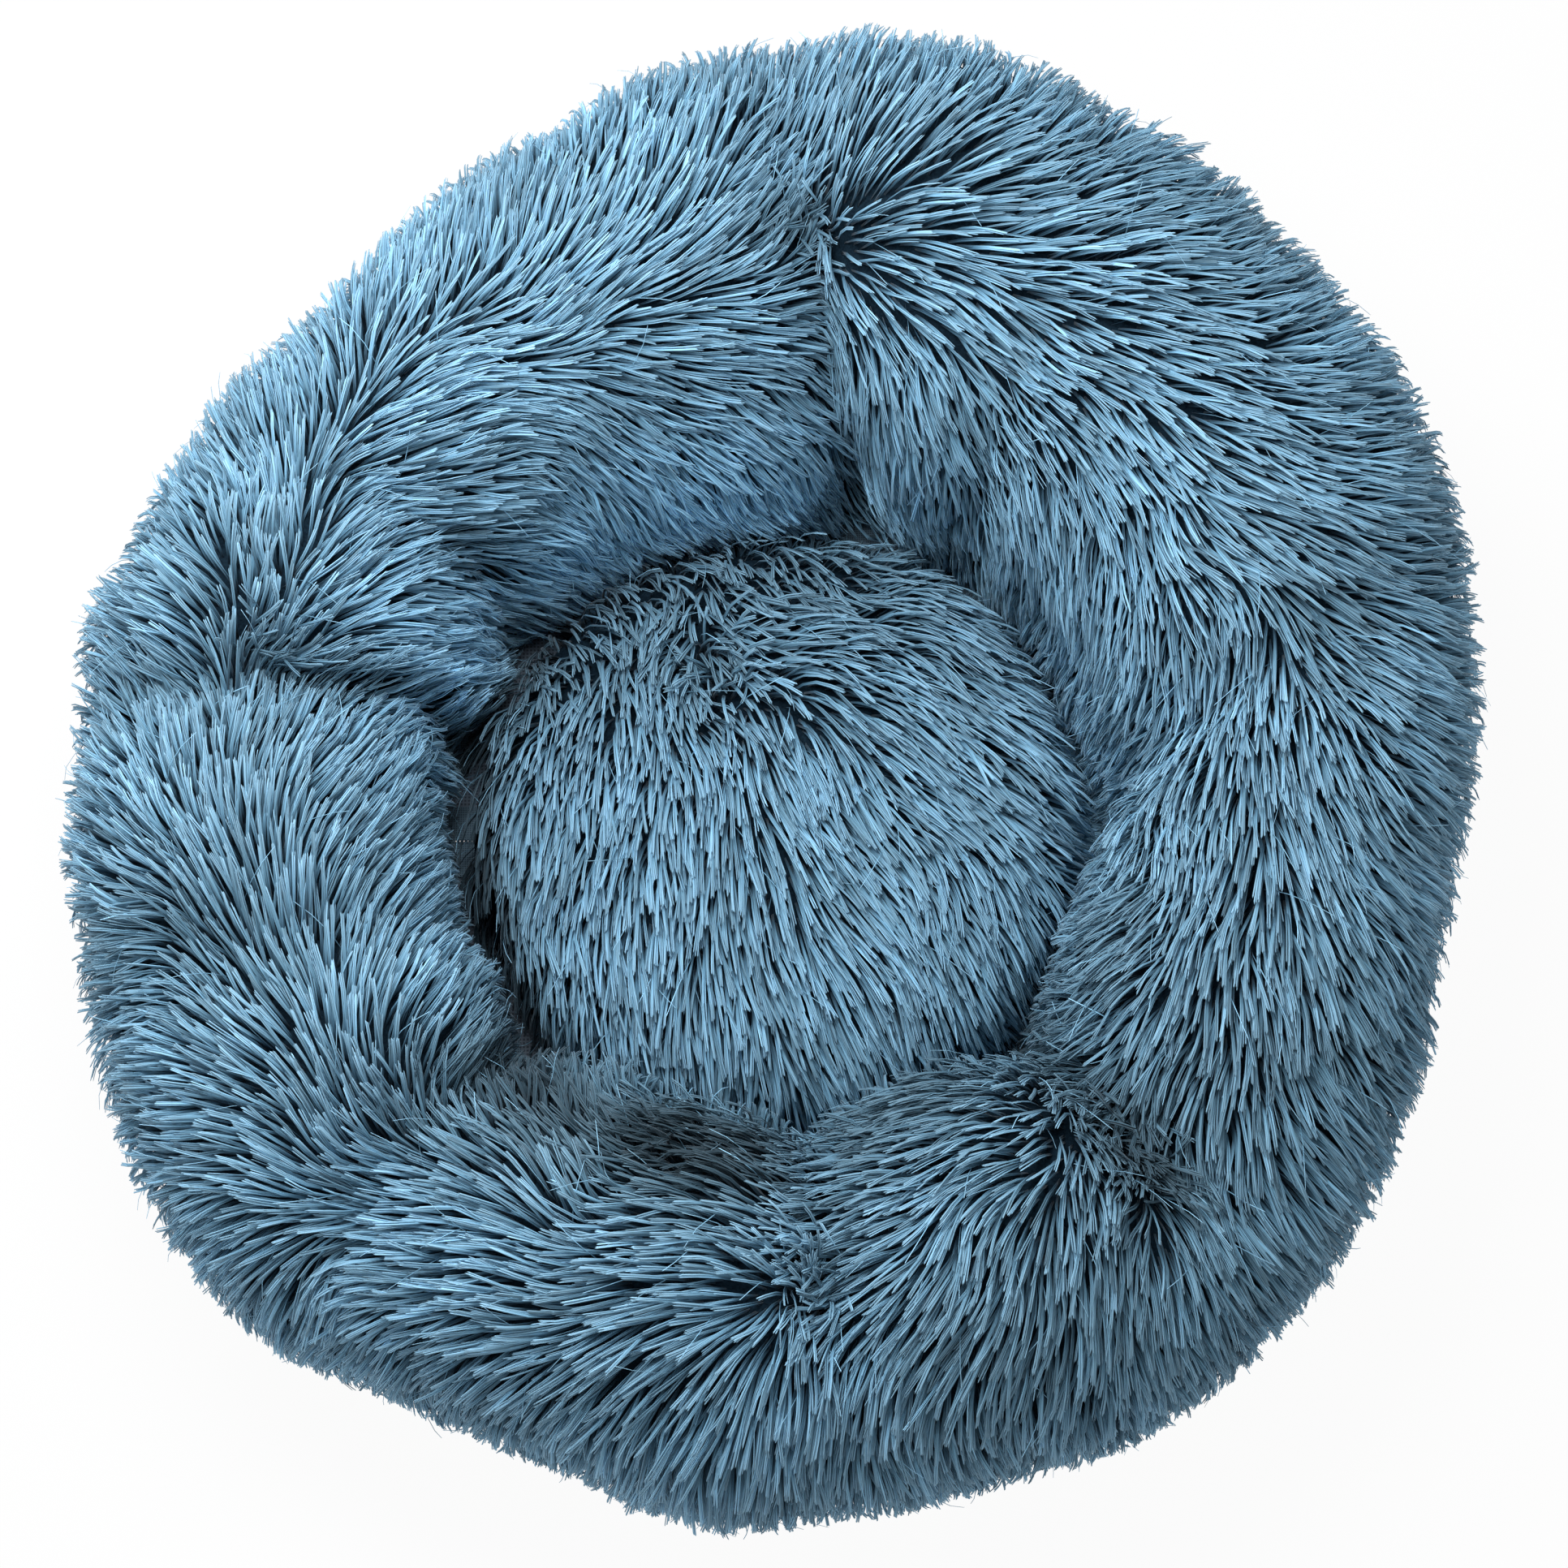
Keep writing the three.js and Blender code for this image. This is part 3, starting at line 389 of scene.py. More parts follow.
# Two seams that the combing doesn't run over: pixel right and pixel down along each
FAR_PARTING = np.array([(985, 250), (999, 297), (1010, 420), (1060, 560), (1110, 640), (1130, 700)])
FAR_PARTING_FADE = (230, 320)
LEFT_PARTING = np.array([
    (60, 790), (115, 800), (160, 841), (200, 866), (260, 860), (345, 832), (425, 829), (470, 806), (620, 800),
])
LEFT_PARTING_END = (640, 700)
MARK_REACH = 26
LEAK = 0.02

# How far a skin faces the camera, as a cosine, over which marks of each kind come to count
COMBED_FACING = (-0.05, 0.22)
PAINTED_SHADE_FACING = (-0.8, -0.5)
RUFFLE_FACING = (-0.1, 0.2)

# Places where the pile is ruffled, and where its colour is darkened with painted shade: pixel right and down,
# reach in pixels, how much painted shade (below 0, painted light that brightens it) and how ruffled
RING_RUFFLES_AND_PAINTED_SHADE = np.array([
    (985, 285, 50, 0.6, 0.9), (1010, 370, 30, 0.5, 0.2), (1022, 440, 30, 0.45, 0.1),
    (1050, 540, 30, 0.4, 0.1), (330, 805, 50, 0.4, 0.7), (230, 850, 50, 0.35, 0.3),
    (425, 830, 35, 0.35, 0.2), (180, 1150, 60, 0.2, 0.5), (300, 700, 70, 0.2, 0.4),
    (760, 500, 60, 0, 0.3), (1385, 1400, 70, 0.75, 0.7), (1320, 1330, 60, 0.4, 0.3),
    (1430, 1470, 50, 0.5, 0.3), (1260, 1300, 60, 0.4, 0.2), (1010, 1580, 60, 0.4, 0.9),
    (1025, 1500, 35, 0.4, 0.2), (930, 1430, 60, 0.65, 0.3), (1060, 1400, 60, 0.65, 0.2),
    (1160, 1350, 60, 0.65, 0.1), (680, 1375, 80, 0.9, 0.4), (590, 1320, 60, 0.6, 0.3),
    (790, 1415, 65, 0.75, 0.4), (520, 1360, 60, 0.3, 0.3), (640, 1300, 40, 0.6, 0.1),
    (860, 1435, 65, 0.75, 0.3), (1380, 1120, 60, 0.3, 0.1), (1350, 1220, 60, 0.4, 0.1),
    # Wide marks with no ruffling only paint shade over broad parts of the ring.
    (1575, 1300, 170, 0.35, 0), (1250, 1640, 150, 0.3, 0), (1620, 760, 150, 0.2, 0),
    (1450, 1560, 120, 0.25, 0), (300, 1200, 110, 0.2, 0), (290, 960, 130, 0.15, 0),
    # Marks with darkness below 0 are painted light on the far and left inner walls, which lie in shadow.
    (800, 630, 80, -0.65, 0.1), (900, 600, 80, -0.65, 0.1), (1000, 585, 60, -0.4, 0),
    (700, 690, 60, -0.65, 0.1), (620, 750, 50, -0.5, 0), (515, 870, 50, -0.5, 0), (545, 820, 40, -0.3, 0),
    (480, 740, 90, -0.2, 0), (460, 1080, 110, 0.15, 0),
])
CUSHION_RUFFLES_AND_PAINTED_SHADE = np.array([
    (780, 740, 80, 0.35, 0.4), (900, 700, 80, 0.35, 0.4), (1020, 690, 80, 0.35, 0.3),
    (885, 840, 50, 0.5, 0.8), (1110, 680, 60, 0.3, 0.2), (690, 820, 60, 0.3, 0.4),
    (650, 860, 50, 0.3, 0.3), (1050, 780, 70, 0.2, 0.2),
])

# The gap round the left of the cushion: the pile parts to the backing where these sum to over PARTED_DARK,
# and locks left near it are darkened with painted shadow of the gap.
NEST_GAP_AND_PAINTED_SHADOW = np.array([
    (598, 955, 26, 1.5, 0), (578, 993, 28, 1.8, 0), (570, 1035, 30, 1.7, 0), (586, 1080, 32, 1.7, 0),
    (603, 1135, 31, 1.7, 0), (619, 1185, 31, 1.7, 0), (637, 1238, 30, 1.7, 0), (653, 1285, 30, 1.7, 0),
    (590, 905, 26, 1.4, 0), (608, 868, 28, 1.7, 0), (630, 835, 28, 1.7, 0), (655, 808, 26, 1.4, 0),
    (690, 785, 26, 1.2, 0), (745, 742, 24, 1, 0), (800, 710, 22, 0.9, 0), (860, 676, 22, 0.8, 0),
])
RING_RUFFLES_AND_PAINTED_SHADE = np.concatenate([RING_RUFFLES_AND_PAINTED_SHADE, NEST_GAP_AND_PAINTED_SHADOW])
CUSHION_RUFFLES_AND_PAINTED_SHADE = np.concatenate([CUSHION_RUFFLES_AND_PAINTED_SHADE, NEST_GAP_AND_PAINTED_SHADOW])
PARTED_DARK = 1.5

# Places where the tufts are longer or shorter: pixel right and down, reach in pixels, added length
# and added height over the skin in mm
TUFT_PLACES = np.array([
    (880, 1790, 65, 14, 5.6), (820, 1770, 60, 12, 4.8), (130, 770, 60, 6, 2.4), (190, 690, 60, -14, -5.6),
    (690, 200, 60, -12, -4.8), (545, 1010, 45, -9, -3.6), (575, 1090, 40, -9, -3.6),
    (605, 1170, 40, -9, -3.6), (640, 1260, 35, -8, -3.2), (1340, 1000, 45, 8, 3.2), (770, 605, 65, 4, 12),
    (870, 565, 65, 4, 12), (970, 550, 55, 3, 9), (690, 665, 60, 4, 12), (620, 740, 50, 3, 9),
    (505, 890, 50, 10, 9), (520, 945, 40, 6, 3), (445, 865, 40, 2, 6), (545, 835, 40, 3, 8),
])


def parting_sides(right, down):
    """Which side of each parting a pixel lies on, and how sharply it parts there."""
    far = right > np.interp(down, FAR_PARTING[:, 1], FAR_PARTING[:, 0])
    far_hold = smooth_step(down, *FAR_PARTING_FADE) * (down < FAR_PARTING[-1, 1])
    left = down > np.interp(right, LEFT_PARTING[:, 0], LEFT_PARTING[:, 1])
    left_hold = 1 - smooth_step(right, *LEFT_PARTING_END)
    return (far, far_hold), (left, left_hold)


def combed_heading(right, down, marks, parted):
    """Heading in the picture plane, blended from the marks round a pixel."""
    off_right = right[:, None] - marks[None, :, 0]
    off_down = down[:, None] - marks[None, :, 1]
    weight = 1 / (off_right ** 2 + off_down ** 2 + MARK_REACH ** 2) ** 2
    if parted:
        here = parting_sides(right, down)
        there = parting_sides(marks[:, 0], marks[:, 1])
        for (side, hold), (mark_side, _) in zip(here, there):
            other = side[:, None] != mark_side[None, :]
            weight = weight * (1 - (1 - LEAK) * hold[:, None] * other)
    turn = np.radians(marks[:, 2])
    return weight @ np.cos(turn), weight @ np.sin(turn)


def heading_on_skin(points, normals, fall, marks, parted):
    """Unit vectors along the skin, the way that the pile lies; out of the camera's sight it falls."""
    right, down = combed_heading(*to_photo(points), marks, parted)
    flat = unit(right[:, None] * EYE_AXES[:, 0] + down[:, None] * EYE_AXES[:, 1])
    to_eye = unit(EYE - points)
    facing = dot(to_eye, normals)
    combed = flat - to_eye * dot(flat, normals) / np.maximum(facing, COMBED_FACING[1])
    combed = unit(combed - normals * dot(combed, normals))
    mixed = lerp(fall, combed, smooth_step(facing, *COMBED_FACING))
    return unit(mixed - normals * dot(mixed, normals))


def nearness(points, places):
    """How near points show to each place, 1 at the place and falling over its reach."""
    right, down = to_photo(points)
    far = np.hypot(right[:, None] - places[None, :, 0], down[:, None] - places[None, :, 1])
    return np.exp(-(far / places[None, :, 2]) ** 2)


def ruffled(points, normals, ruffle_and_shade_marks):
    """Painted shade and ruffling of the pile round points on the camera's side of the bed; a shade below 0 is
    painted light.
    """
    facing = dot(unit(EYE - points), normals)[:, 0]
    near = nearness(points, ruffle_and_shade_marks)
    # Painted shade from the marks; where their sum is below 0 it is painted light.
    dark = (near @ ruffle_and_shade_marks[:, 3]) * smooth_step(facing, *PAINTED_SHADE_FACING)
    ruffle = (near @ ruffle_and_shade_marks[:, 4]) * smooth_step(facing, *RUFFLE_FACING)
    return dark, np.minimum(ruffle, 1)


def tuft_changes(points):
    """How much longer, and how much higher over the skin, the tufts are at points."""
    near = nearness(points, TUFT_PLACES)
    return near @ TUFT_PLACES[:, 3], near @ TUFT_PLACES[:, 4]


# Soft random waves over the bed turn the pile a little this way and that
class Waves:
    def __init__(self, count, shortest, longest):
        aims = unit(rng.normal(size=(count, 3)))
        self.waves = aims * math.tau / rng.uniform(shortest, longest, (count, 1))
        self.phases = rng.uniform(0, math.tau, count)
        self.scale = math.sqrt(2 / count)

    def __call__(self, points):
        return np.sin(points @ self.waves.T + self.phases).sum(axis=-1) * self.scale


# Locks of pile
LINE_POINTS = 7
LOCK_LENGTH = 35
LOCK_LENGTH_SPREAD = 4.5
LOCK_LENGTH_RANGE = (22, 46)
CHANGED_LENGTH_RANGE = (12, 52)
LOCK_SPACING = 3.6
RUFFLED_CUSHION_SPACING = 0.8 * LOCK_SPACING
STRAY_SPACING = 4.5 * LOCK_SPACING
ROOT_JITTER = 0.42
ROOT_LIMITS = (0.01, 0.99)
LINE_LIMITS = (0.004, 0.996)
CUSHION_EDGE_ROOM = 0.01
RING_STEPS = (0.4, 0.003)
CUSHION_STEPS = (0.004, 0.004)
LOCK_TURN = 6
WAVE_TURN = 6
LOCK_CURL = 8
CURL_MIDDLE = 0.3
STRIDES = (0.72, 1.08)
LONG_STRIDE_FROM = 0.4
ROOT_DEPTH = 1.2
LIFT_SPREAD = 0.28
LIFT_WAVES = 0.16
PROUD_LOW = -5.5
PROUD_HIGH = 4
SHOWN_STEP = 4
STIFF_FROM = 2
STIFF_LOW = 0.25
STIFF_HIGH = 0.95
STRAY_WILDNESS = 4
CLUMP_REACH = (4.5, 6.75)
CLUMP_PULL = 0.1
CLUMP_STRENGTH = (0.4, 1.4)
LOWEST_TIP = 0.8
FOOT_FLARE_HEIGHT = 9
FOOT_FLARE = 0.7
FOOT_SOFTNESS = 7
BASE_REACH = (180, 205)
PILE_OVER_BASE = 1.6

RUFFLE_TURN = 34
RUFFLE_RISE = 0.3
RUFFLE_PROUD = 4
RUFFLE_FILL = 0.5
RUFFLE_WILDNESS = 3.5
RUFFLE_LOOSENESS = 2
RUFFLED_LENGTH = 0.75

turning = Waves(14, 22, 70)
lifting = Waves(10, 14, 45)
ruffling = Waves(14, 12, 34)


def slopes(skin, a, b, step_a, step_b):
    """Points on a skin, with the two ways along it."""
    inset = BACKING_INSET / 2
    way_a = (skin(a + step_a, b, inset) - skin(a - step_a, b, inset)) / (2 * step_a)
    way_b = (skin(a, b + step_b, inset) - skin(a, b - step_b, inset)) / (2 * step_b)
    return skin(a, b, inset), way_a, way_b


def with_ruffled(skin, a, b, more_a, more_b, ruffle_and_shade_marks):
    """Places a, b and, where the pile is ruffled, more places; and how wildly each lock turns."""
    points = skin(more_a, more_b, BACKING_INSET)
    up = np.zeros_like(points)
    up[:, 2] = 1
    extra = ruffled(points, up, ruffle_and_shade_marks)[1] > RUFFLE_FILL
    a, b = np.concatenate([a, more_a[extra]]), np.concatenate([b, more_b[extra]])
    return a, b, np.where(np.arange(len(a)) < len(a) - extra.sum(), 1, RUFFLE_WILDNESS)


def trace_locks(skin, steps, normal_sign, fall_of, limit, marks, parted, ruffle_and_shade_marks, a, b, wild):
    """Middle lines of locks from places a, b of a skin, the normals along them and how dark they are painted:
    painted shade, and painted light where below 0.
    """
    count = len(a)
    turn = rng.normal(0, LOCK_TURN * wild, count)
    curl = rng.normal(0, LOCK_CURL * wild, count)
    length = np.clip(rng.normal(LOCK_LENGTH, LOCK_LENGTH_SPREAD, count), *LOCK_LENGTH_RANGE)
    start = skin(a, b, BACKING_INSET)
    lift = np.clip(0.5 + LIFT_SPREAD * rng.normal(size=count) + LIFT_WAVES * lifting(start), 0, 1)
    proud = lerp(PROUD_LOW, PROUD_HIGH, lift) + (wild - 1)
    stiff = rng.uniform(STIFF_LOW, STIFF_HIGH, count)
    lines = np.empty((count, LINE_POINTS, 3))
    normals = np.empty((count, LINE_POINTS, 3))
    for step in range(LINE_POINTS):
        share = step / (LINE_POINTS - 1)
        points, way_a, way_b = slopes(skin, a, b, *steps)
        normal = unit(np.cross(way_a, way_b)) * normal_sign
        rise = 1 - (1 - share) ** 2
        inset = lerp(BACKING_INSET + ROOT_DEPTH, -proud, rise)
        lines[:, step] = skin(a, b, inset)
        normals[:, step] = normal
        if step == 0:
            ruffle = ruffled(points, normal, ruffle_and_shade_marks)[1]
            longer, higher = tuft_changes(points)
            length = length * (1 - RUFFLE_RISE * ruffle) + longer
            proud = proud + higher
            length = length * np.where(wild == RUFFLE_WILDNESS, RUFFLED_LENGTH, 1)
            length = np.clip(length, *CHANGED_LENGTH_RANGE)
            proud = proud + RUFFLE_PROUD * ruffle
        # The marks' darkness at the shown part of each lock: painted shade, and painted light where below 0.
        if step == SHOWN_STEP:
            dark = ruffled(points, normal, ruffle_and_shade_marks)[0]
        heading = heading_on_skin(points, normal, fall_of(way_a, way_b, a, b), marks, parted)
        waves = WAVE_TURN * turning(points) + RUFFLE_TURN * ruffle * ruffling(points)
        own_turn = turn * (1 + RUFFLE_LOOSENESS * ruffle) + curl * (share - CURL_MIDDLE)
        angle = np.radians(own_turn + waves)[:, None]
        heading = np.cos(angle) * heading + np.sin(angle) * np.cross(normal, heading)
        aa, ab, bb = dot(way_a, way_a), dot(way_a, way_b), dot(way_b, way_b)
        ha, hb = dot(heading, way_a), dot(heading, way_b)
        det = np.maximum(aa * bb - ab * ab, 1e-6)
        stride = length / (LINE_POINTS - 1) * STRIDES[share > LONG_STRIDE_FROM]
        if step == STIFF_FROM:
            straight, straight_way, straight_up, stiff_inset = lines[:, step], heading, normal, inset
        if step > STIFF_FROM:
            ahead = straight + straight_up * (stiff_inset - inset)[:, None]
            lines[:, step] = lerp(lines[:, step], ahead, stiff[:, None])
        if step >= STIFF_FROM:
            straight = straight + straight_way * stride[:, None]
        a = a + ((ha * bb - hb * ab) / det)[:, 0] * stride
        b = b + ((hb * aa - ha * ab) / det)[:, 0] * stride
        a, b = limit(a, b)
    return lines, normals, dark


def clump(lines):
    """Lines that lean together towards their tips, in clumps, and the clump of each."""
    roots = lines[:, 0]
    tree = KDTree(len(roots))
    for index, root in enumerate(roots):
        tree.insert(root, index)
    tree.balance()
    owner = np.full(len(roots), -1)
    for index in rng.permutation(len(roots)):
        if owner[index] < 0:
            for _, near, _ in tree.find_range(roots[index], rng.uniform(*CLUMP_REACH)):
                if owner[near] < 0:
                    owner[near] = index
    sums = np.zeros_like(lines)
    np.add.at(sums, owner, lines)
    counts = np.bincount(owner, minlength=len(roots))
    middles = sums[owner] / counts[owner][:, None, None]
    pull = CLUMP_PULL * np.linspace(0, 1, LINE_POINTS) ** 1.5
    strength = rng.uniform(*CLUMP_STRENGTH, len(roots))[owner]
    return lines + (middles - lines) * (pull[None, :] * strength[:, None])[:, :, None], owner


def off_floor(lines):
    """Tips that reach the floor bend outward along it."""
    low = np.maximum(0, FOOT_FLARE_HEIGHT - lines[..., 2])
    outward = unit(lines * np.array([1, 1, 0]))
    moved = lines + outward * (FOOT_FLARE * low)[..., None]
    sunk = (FOOT_FLARE_HEIGHT - LOWEST_TIP) * (1 - np.exp(-low / FOOT_SOFTNESS))
    moved[..., 2] = np.where(low > 0, FOOT_FLARE_HEIGHT - sunk, lines[..., 2])
    return moved


def over_base(lines):
    """Lines moved up where they would reach into the base cloth or the room over the zip."""
    over_cloth = 1 - smooth_step(np.hypot(lines[..., 0], lines[..., 1]), *BASE_REACH)
    return over_pocket(lines, lerp(LOWEST_TIP, COVER_FLOOR + PILE_OVER_BASE, over_cloth))


# Strands: each lock is a few flat three-sided strands that lie side by side. Each strand has its own
# small oblong on the piece's map, MAP_SHAPE times as tall as wide.
MAP_SHAPE = 5.6
MAP_MARGIN = np.array([0.12, 0.05])
STRANDS_PER_LOCK = 3
STRAND_WIDTH = 0.74
STRAND_FLATNESS = 0.6
RING_SHARES = np.array([0, 0.28, 0.54, 0.78, 0.975])
WIDTH_SHARES = np.array([0.7, 1, 1, 0.95, 0.8])
SIDES = 3
LOCK_HALF_WIDTH = 0.5
LOCK_ROLL = 0.3
LANE_JITTER = 0.12
LANE_LIFT = 0.35
LOCK_END_SPREAD = 0.1
LOCK_END_LEAST = 0.7
STRAND_END_SPREAD = 0.035
STRAND_END_LEAST = 0.85
STRAND_SPLAY = 0.3
FAN_AT_ROOT = 0.6
STRAND_TWIST = 0.5
STRAND_WIDTH_RANGE = (0.75, 1.2)
STRAY_WIDTH = 0.5 * STRAND_WIDTH
WAY_STEP = 0.04
LOWEST_POINT = 0.2
MOST_FACES = 190000
PIECE_ROOM = 1.02
RINGS = len(RING_SHARES)
POINTS_PER_STRAND = RINGS * SIDES + 1
TRIANGLES_PER_STRAND = (RINGS - 1) * SIDES * 2 + SIDES + 1


def along_lines(lines, shares):
    """Points at one share of the way along each line."""
    place = np.clip(shares, 0, 1) * (LINE_POINTS - 1)
    start = np.minimum(place.astype(int), LINE_POINTS - 2)
    rest = (place - start)[:, None]
    index = np.arange(len(lines))
    return lerp(lines[index, start], lines[index, start + 1], rest)


def ends_of(count, spread, least):
    """Shares at which strands end, most of them near 1."""
    return np.clip(1 - np.abs(rng.normal(0, spread, count)), least, 1)


def strands_of(lines, normals, per_lock, width):
    """Corner points of strands, and the lock of each."""
    lock = np.repeat(np.arange(len(lines)), per_lock)
    count = len(lock)
    lane = np.tile(np.linspace(-1, 1, per_lock) if per_lock > 1 else np.zeros(1), len(lines))
    lane = lane + rng.normal(0, LANE_JITTER, count)
    lane_lift = rng.normal(0, LANE_LIFT, count)
    lock_end = ends_of(len(lines), LOCK_END_SPREAD, LOCK_END_LEAST)
    lock_roll = rng.normal(0, LOCK_ROLL, len(lines))[lock][:, None]
    end = lock_end[lock] * ends_of(count, STRAND_END_SPREAD, STRAND_END_LEAST)
    splay = rng.normal(0, STRAND_SPLAY, count)
    widths = width * rng.uniform(*STRAND_WIDTH_RANGE, count)
    roll = rng.uniform(0, math.tau / SIDES, count)
    twist = rng.normal(0, STRAND_TWIST, count)
    own_lines, own_normals = lines[lock], normals[lock]
    corners = np.empty((count, POINTS_PER_STRAND, 3))

    def middle_at(share):
        here = along_lines(own_lines, share * end)
        normal = unit(along_lines(own_normals, share * end))
        ahead = along_lines(own_lines, share * end + WAY_STEP)
        behind = along_lines(own_lines, share * end - WAY_STEP)
        way = unit(ahead - behind)
        flat = unit(np.cross(normal, way))
        upright = np.cross(way, flat)
        side = np.cos(lock_roll) * flat + np.sin(lock_roll) * upright
        up = np.cos(lock_roll) * upright - np.sin(lock_roll) * flat
        fan = LOCK_HALF_WIDTH * (lane * lerp(FAN_AT_ROOT, 1, share) + splay * share ** 3)
        here = here + side * fan[:, None] + up * (lane_lift * share)[:, None]
        return here, side, up

    for ring, (share, width_share) in enumerate(zip(RING_SHARES, WIDTH_SHARES)):
        here, side, up = middle_at(share)
        for corner in range(SIDES):
            angle = roll + twist * share + corner * math.tau / SIDES
            half = widths * width_share / 2
            sideways = side * (half * np.cos(angle))[:, None]
            upright = up * (half * STRAND_FLATNESS * np.sin(angle))[:, None]
            corners[:, ring * SIDES + corner] = here + sideways + upright
    corners[:, -1] = middle_at(1.0)[0]
    corners[..., 2] = np.maximum(corners[..., 2], LOWEST_POINT)
    return corners, lock


def strand_faces():
    """Quads and triangles of one strand, each with the place of its corners on the strand's map."""
    quads, triangles, quad_map, triangle_map = [], [], [], []
    for ring in range(RINGS - 1):
        low, high = RING_SHARES[ring], RING_SHARES[ring + 1]
        for side in range(SIDES):
            after = (side + 1) % SIDES
            here, there = ring * SIDES, (ring + 1) * SIDES
            quads.append((here + side, here + after, there + after, there + side))
            left, right = side / SIDES, (side + 1) / SIDES
            quad_map.append(((left, low), (right, low), (right, high), (left, high)))
    last = (RINGS - 1) * SIDES
    for side in range(SIDES):
        left, right = side / SIDES, (side + 1) / SIDES
        triangles.append((last + side, last + (side + 1) % SIDES, RINGS * SIDES))
        triangle_map.append(((left, RING_SHARES[-1]), (right, RING_SHARES[-1]), ((left + right) / 2, 1)))
    triangles.append((0, 2, 1))
    triangle_map.append(((0, 0), (0.66, 0), (0.33, 0)))
    return (np.array(part) for part in (quads, triangles, quad_map, triangle_map))


# Meshes from arrays

def mesh_object(name, points, quads=None, triangles=None, material=None, smooth=True):
    """A mesh object from points about the nest's middle and faces of four and three corners."""
    quads = np.zeros((0, 4), int) if quads is None else np.asarray(quads).reshape(-1, 4)
    triangles = np.zeros((0, 3), int) if triangles is None else np.asarray(triangles).reshape(-1, 3)
    placed = ((np.asarray(points).reshape(-1, 3) + np.array(NEST)) * MM).astype(np.float32)
    mesh = bpy.data.meshes.new(name)
    mesh.vertices.add(len(placed))
    mesh.vertices.foreach_set("co", placed.ravel())
    corners = np.concatenate([quads.ravel(), triangles.ravel()]).astype(np.int32)
    mesh.loops.add(len(corners))
    mesh.loops.foreach_set("vertex_index", corners)
    starts = np.concatenate([
        np.arange(len(quads)) * 4,
        len(quads) * 4 + np.arange(len(triangles)) * 3,
    ]).astype(np.int32)
    mesh.polygons.add(len(starts))
    mesh.polygons.foreach_set("loop_start", starts)
    mesh.update(calc_edges=True)
    mesh.polygons.foreach_set("use_smooth", np.full(len(starts), smooth))
    if material:
        mesh.materials.append(material)
    made = bpy.data.objects.new(name, mesh)
    bpy.context.scene.collection.objects.link(made)
    return made


def add_values(made, name, values):
    attribute = made.data.attributes.new(name, "FLOAT", "POINT")
    attribute.data.foreach_set("value", np.asarray(values, np.float32).ravel())


def pile_piece(name, corners, tones, shades, material):
    """One mesh of strands, with a map on which each strand has its own small oblong."""
    count = len(corners)
    quads, triangles, quad_map, triangle_map = strand_faces()
    first = (np.arange(count) * POINTS_PER_STRAND)[:, None, None]
    made = mesh_object(name, corners, quads[None] + first, triangles[None] + first, material)
    columns = max(1, round(math.sqrt(count * MAP_SHAPE)))
    rows = math.ceil(count / columns)
    cell = np.stack([np.arange(count) % columns, np.arange(count) // columns], axis=-1)[:, None, None, :]
    room = 1 - 2 * MAP_MARGIN
    size = np.array([columns, rows])
    maps = [(cell + MAP_MARGIN + room * part[None]) / size for part in (quad_map, triangle_map)]
    layer = made.data.uv_layers.new(name="OFBake")
    layer.data.foreach_set("uv", np.concatenate([part.ravel() for part in maps]).astype(np.float32))
    along = np.append(np.repeat(RING_SHARES, SIDES), 1)
    add_values(made, "along", np.tile(along, count))
    add_values(made, "tone", np.repeat(tones, POINTS_PER_STRAND))
    add_values(made, "shade", np.repeat(shades, POINTS_PER_STRAND))
    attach(made, "bed")


# Tones of locks, of clumps, of strands in a lock and of strays
LOCK_TONE_SPREAD = 0.6
CLUMP_TONE_SPREAD = 0.5
TONE_REACH = 0.125
STRAND_TONE_SPREAD = 0.055
STRAY_TONE = 0.7
STRAY_TONE_SPREAD = 0.12


def grow_pieces(name, locks, order, strays, material):
    """Locks become strands, cut into meshes of at most MOST_FACES faces, in order round the bed."""
    lines, normals, dark, owner = locks
    ranked = np.argsort(order, kind="stable")
    clump_tone = rng.normal(0, CLUMP_TONE_SPREAD, len(lines))
    tone = LOCK_TONE_SPREAD * (rng.normal(size=len(lines)) + clump_tone[owner])
    locks_per_piece = MOST_FACES // (TRIANGLES_PER_STRAND * STRANDS_PER_LOCK)
    pieces = math.ceil(len(ranked) * PIECE_ROOM / locks_per_piece)
    for number, part in enumerate(np.array_split(ranked, pieces)):
        corners, lock = strands_of(lines[part], normals[part], STRANDS_PER_LOCK, STRAND_WIDTH)
        tones = 0.5 + TONE_REACH * tone[part][lock] + STRAND_TONE_SPREAD * rng.normal(size=len(lock))
        # Darkness from the marks scales the tone: painted shade, and painted light where it is below 0.
        tones = np.clip(tones * (1 - np.minimum(dark[part][lock], 1)), 0, 1)
        shades = rng.uniform(0, 1, len(lock))
        pile_piece(f"{name}_{number + 1:02d}", corners, tones, shades, material)
    corners, lock = strands_of(*strays, 1, STRAY_WIDTH)
    tones = np.clip(rng.normal(STRAY_TONE, STRAY_TONE_SPREAD, len(lock)), 0, 1)
    pile_piece(f"{name}_strays", corners, tones, rng.uniform(0, 1, len(lock)), material)


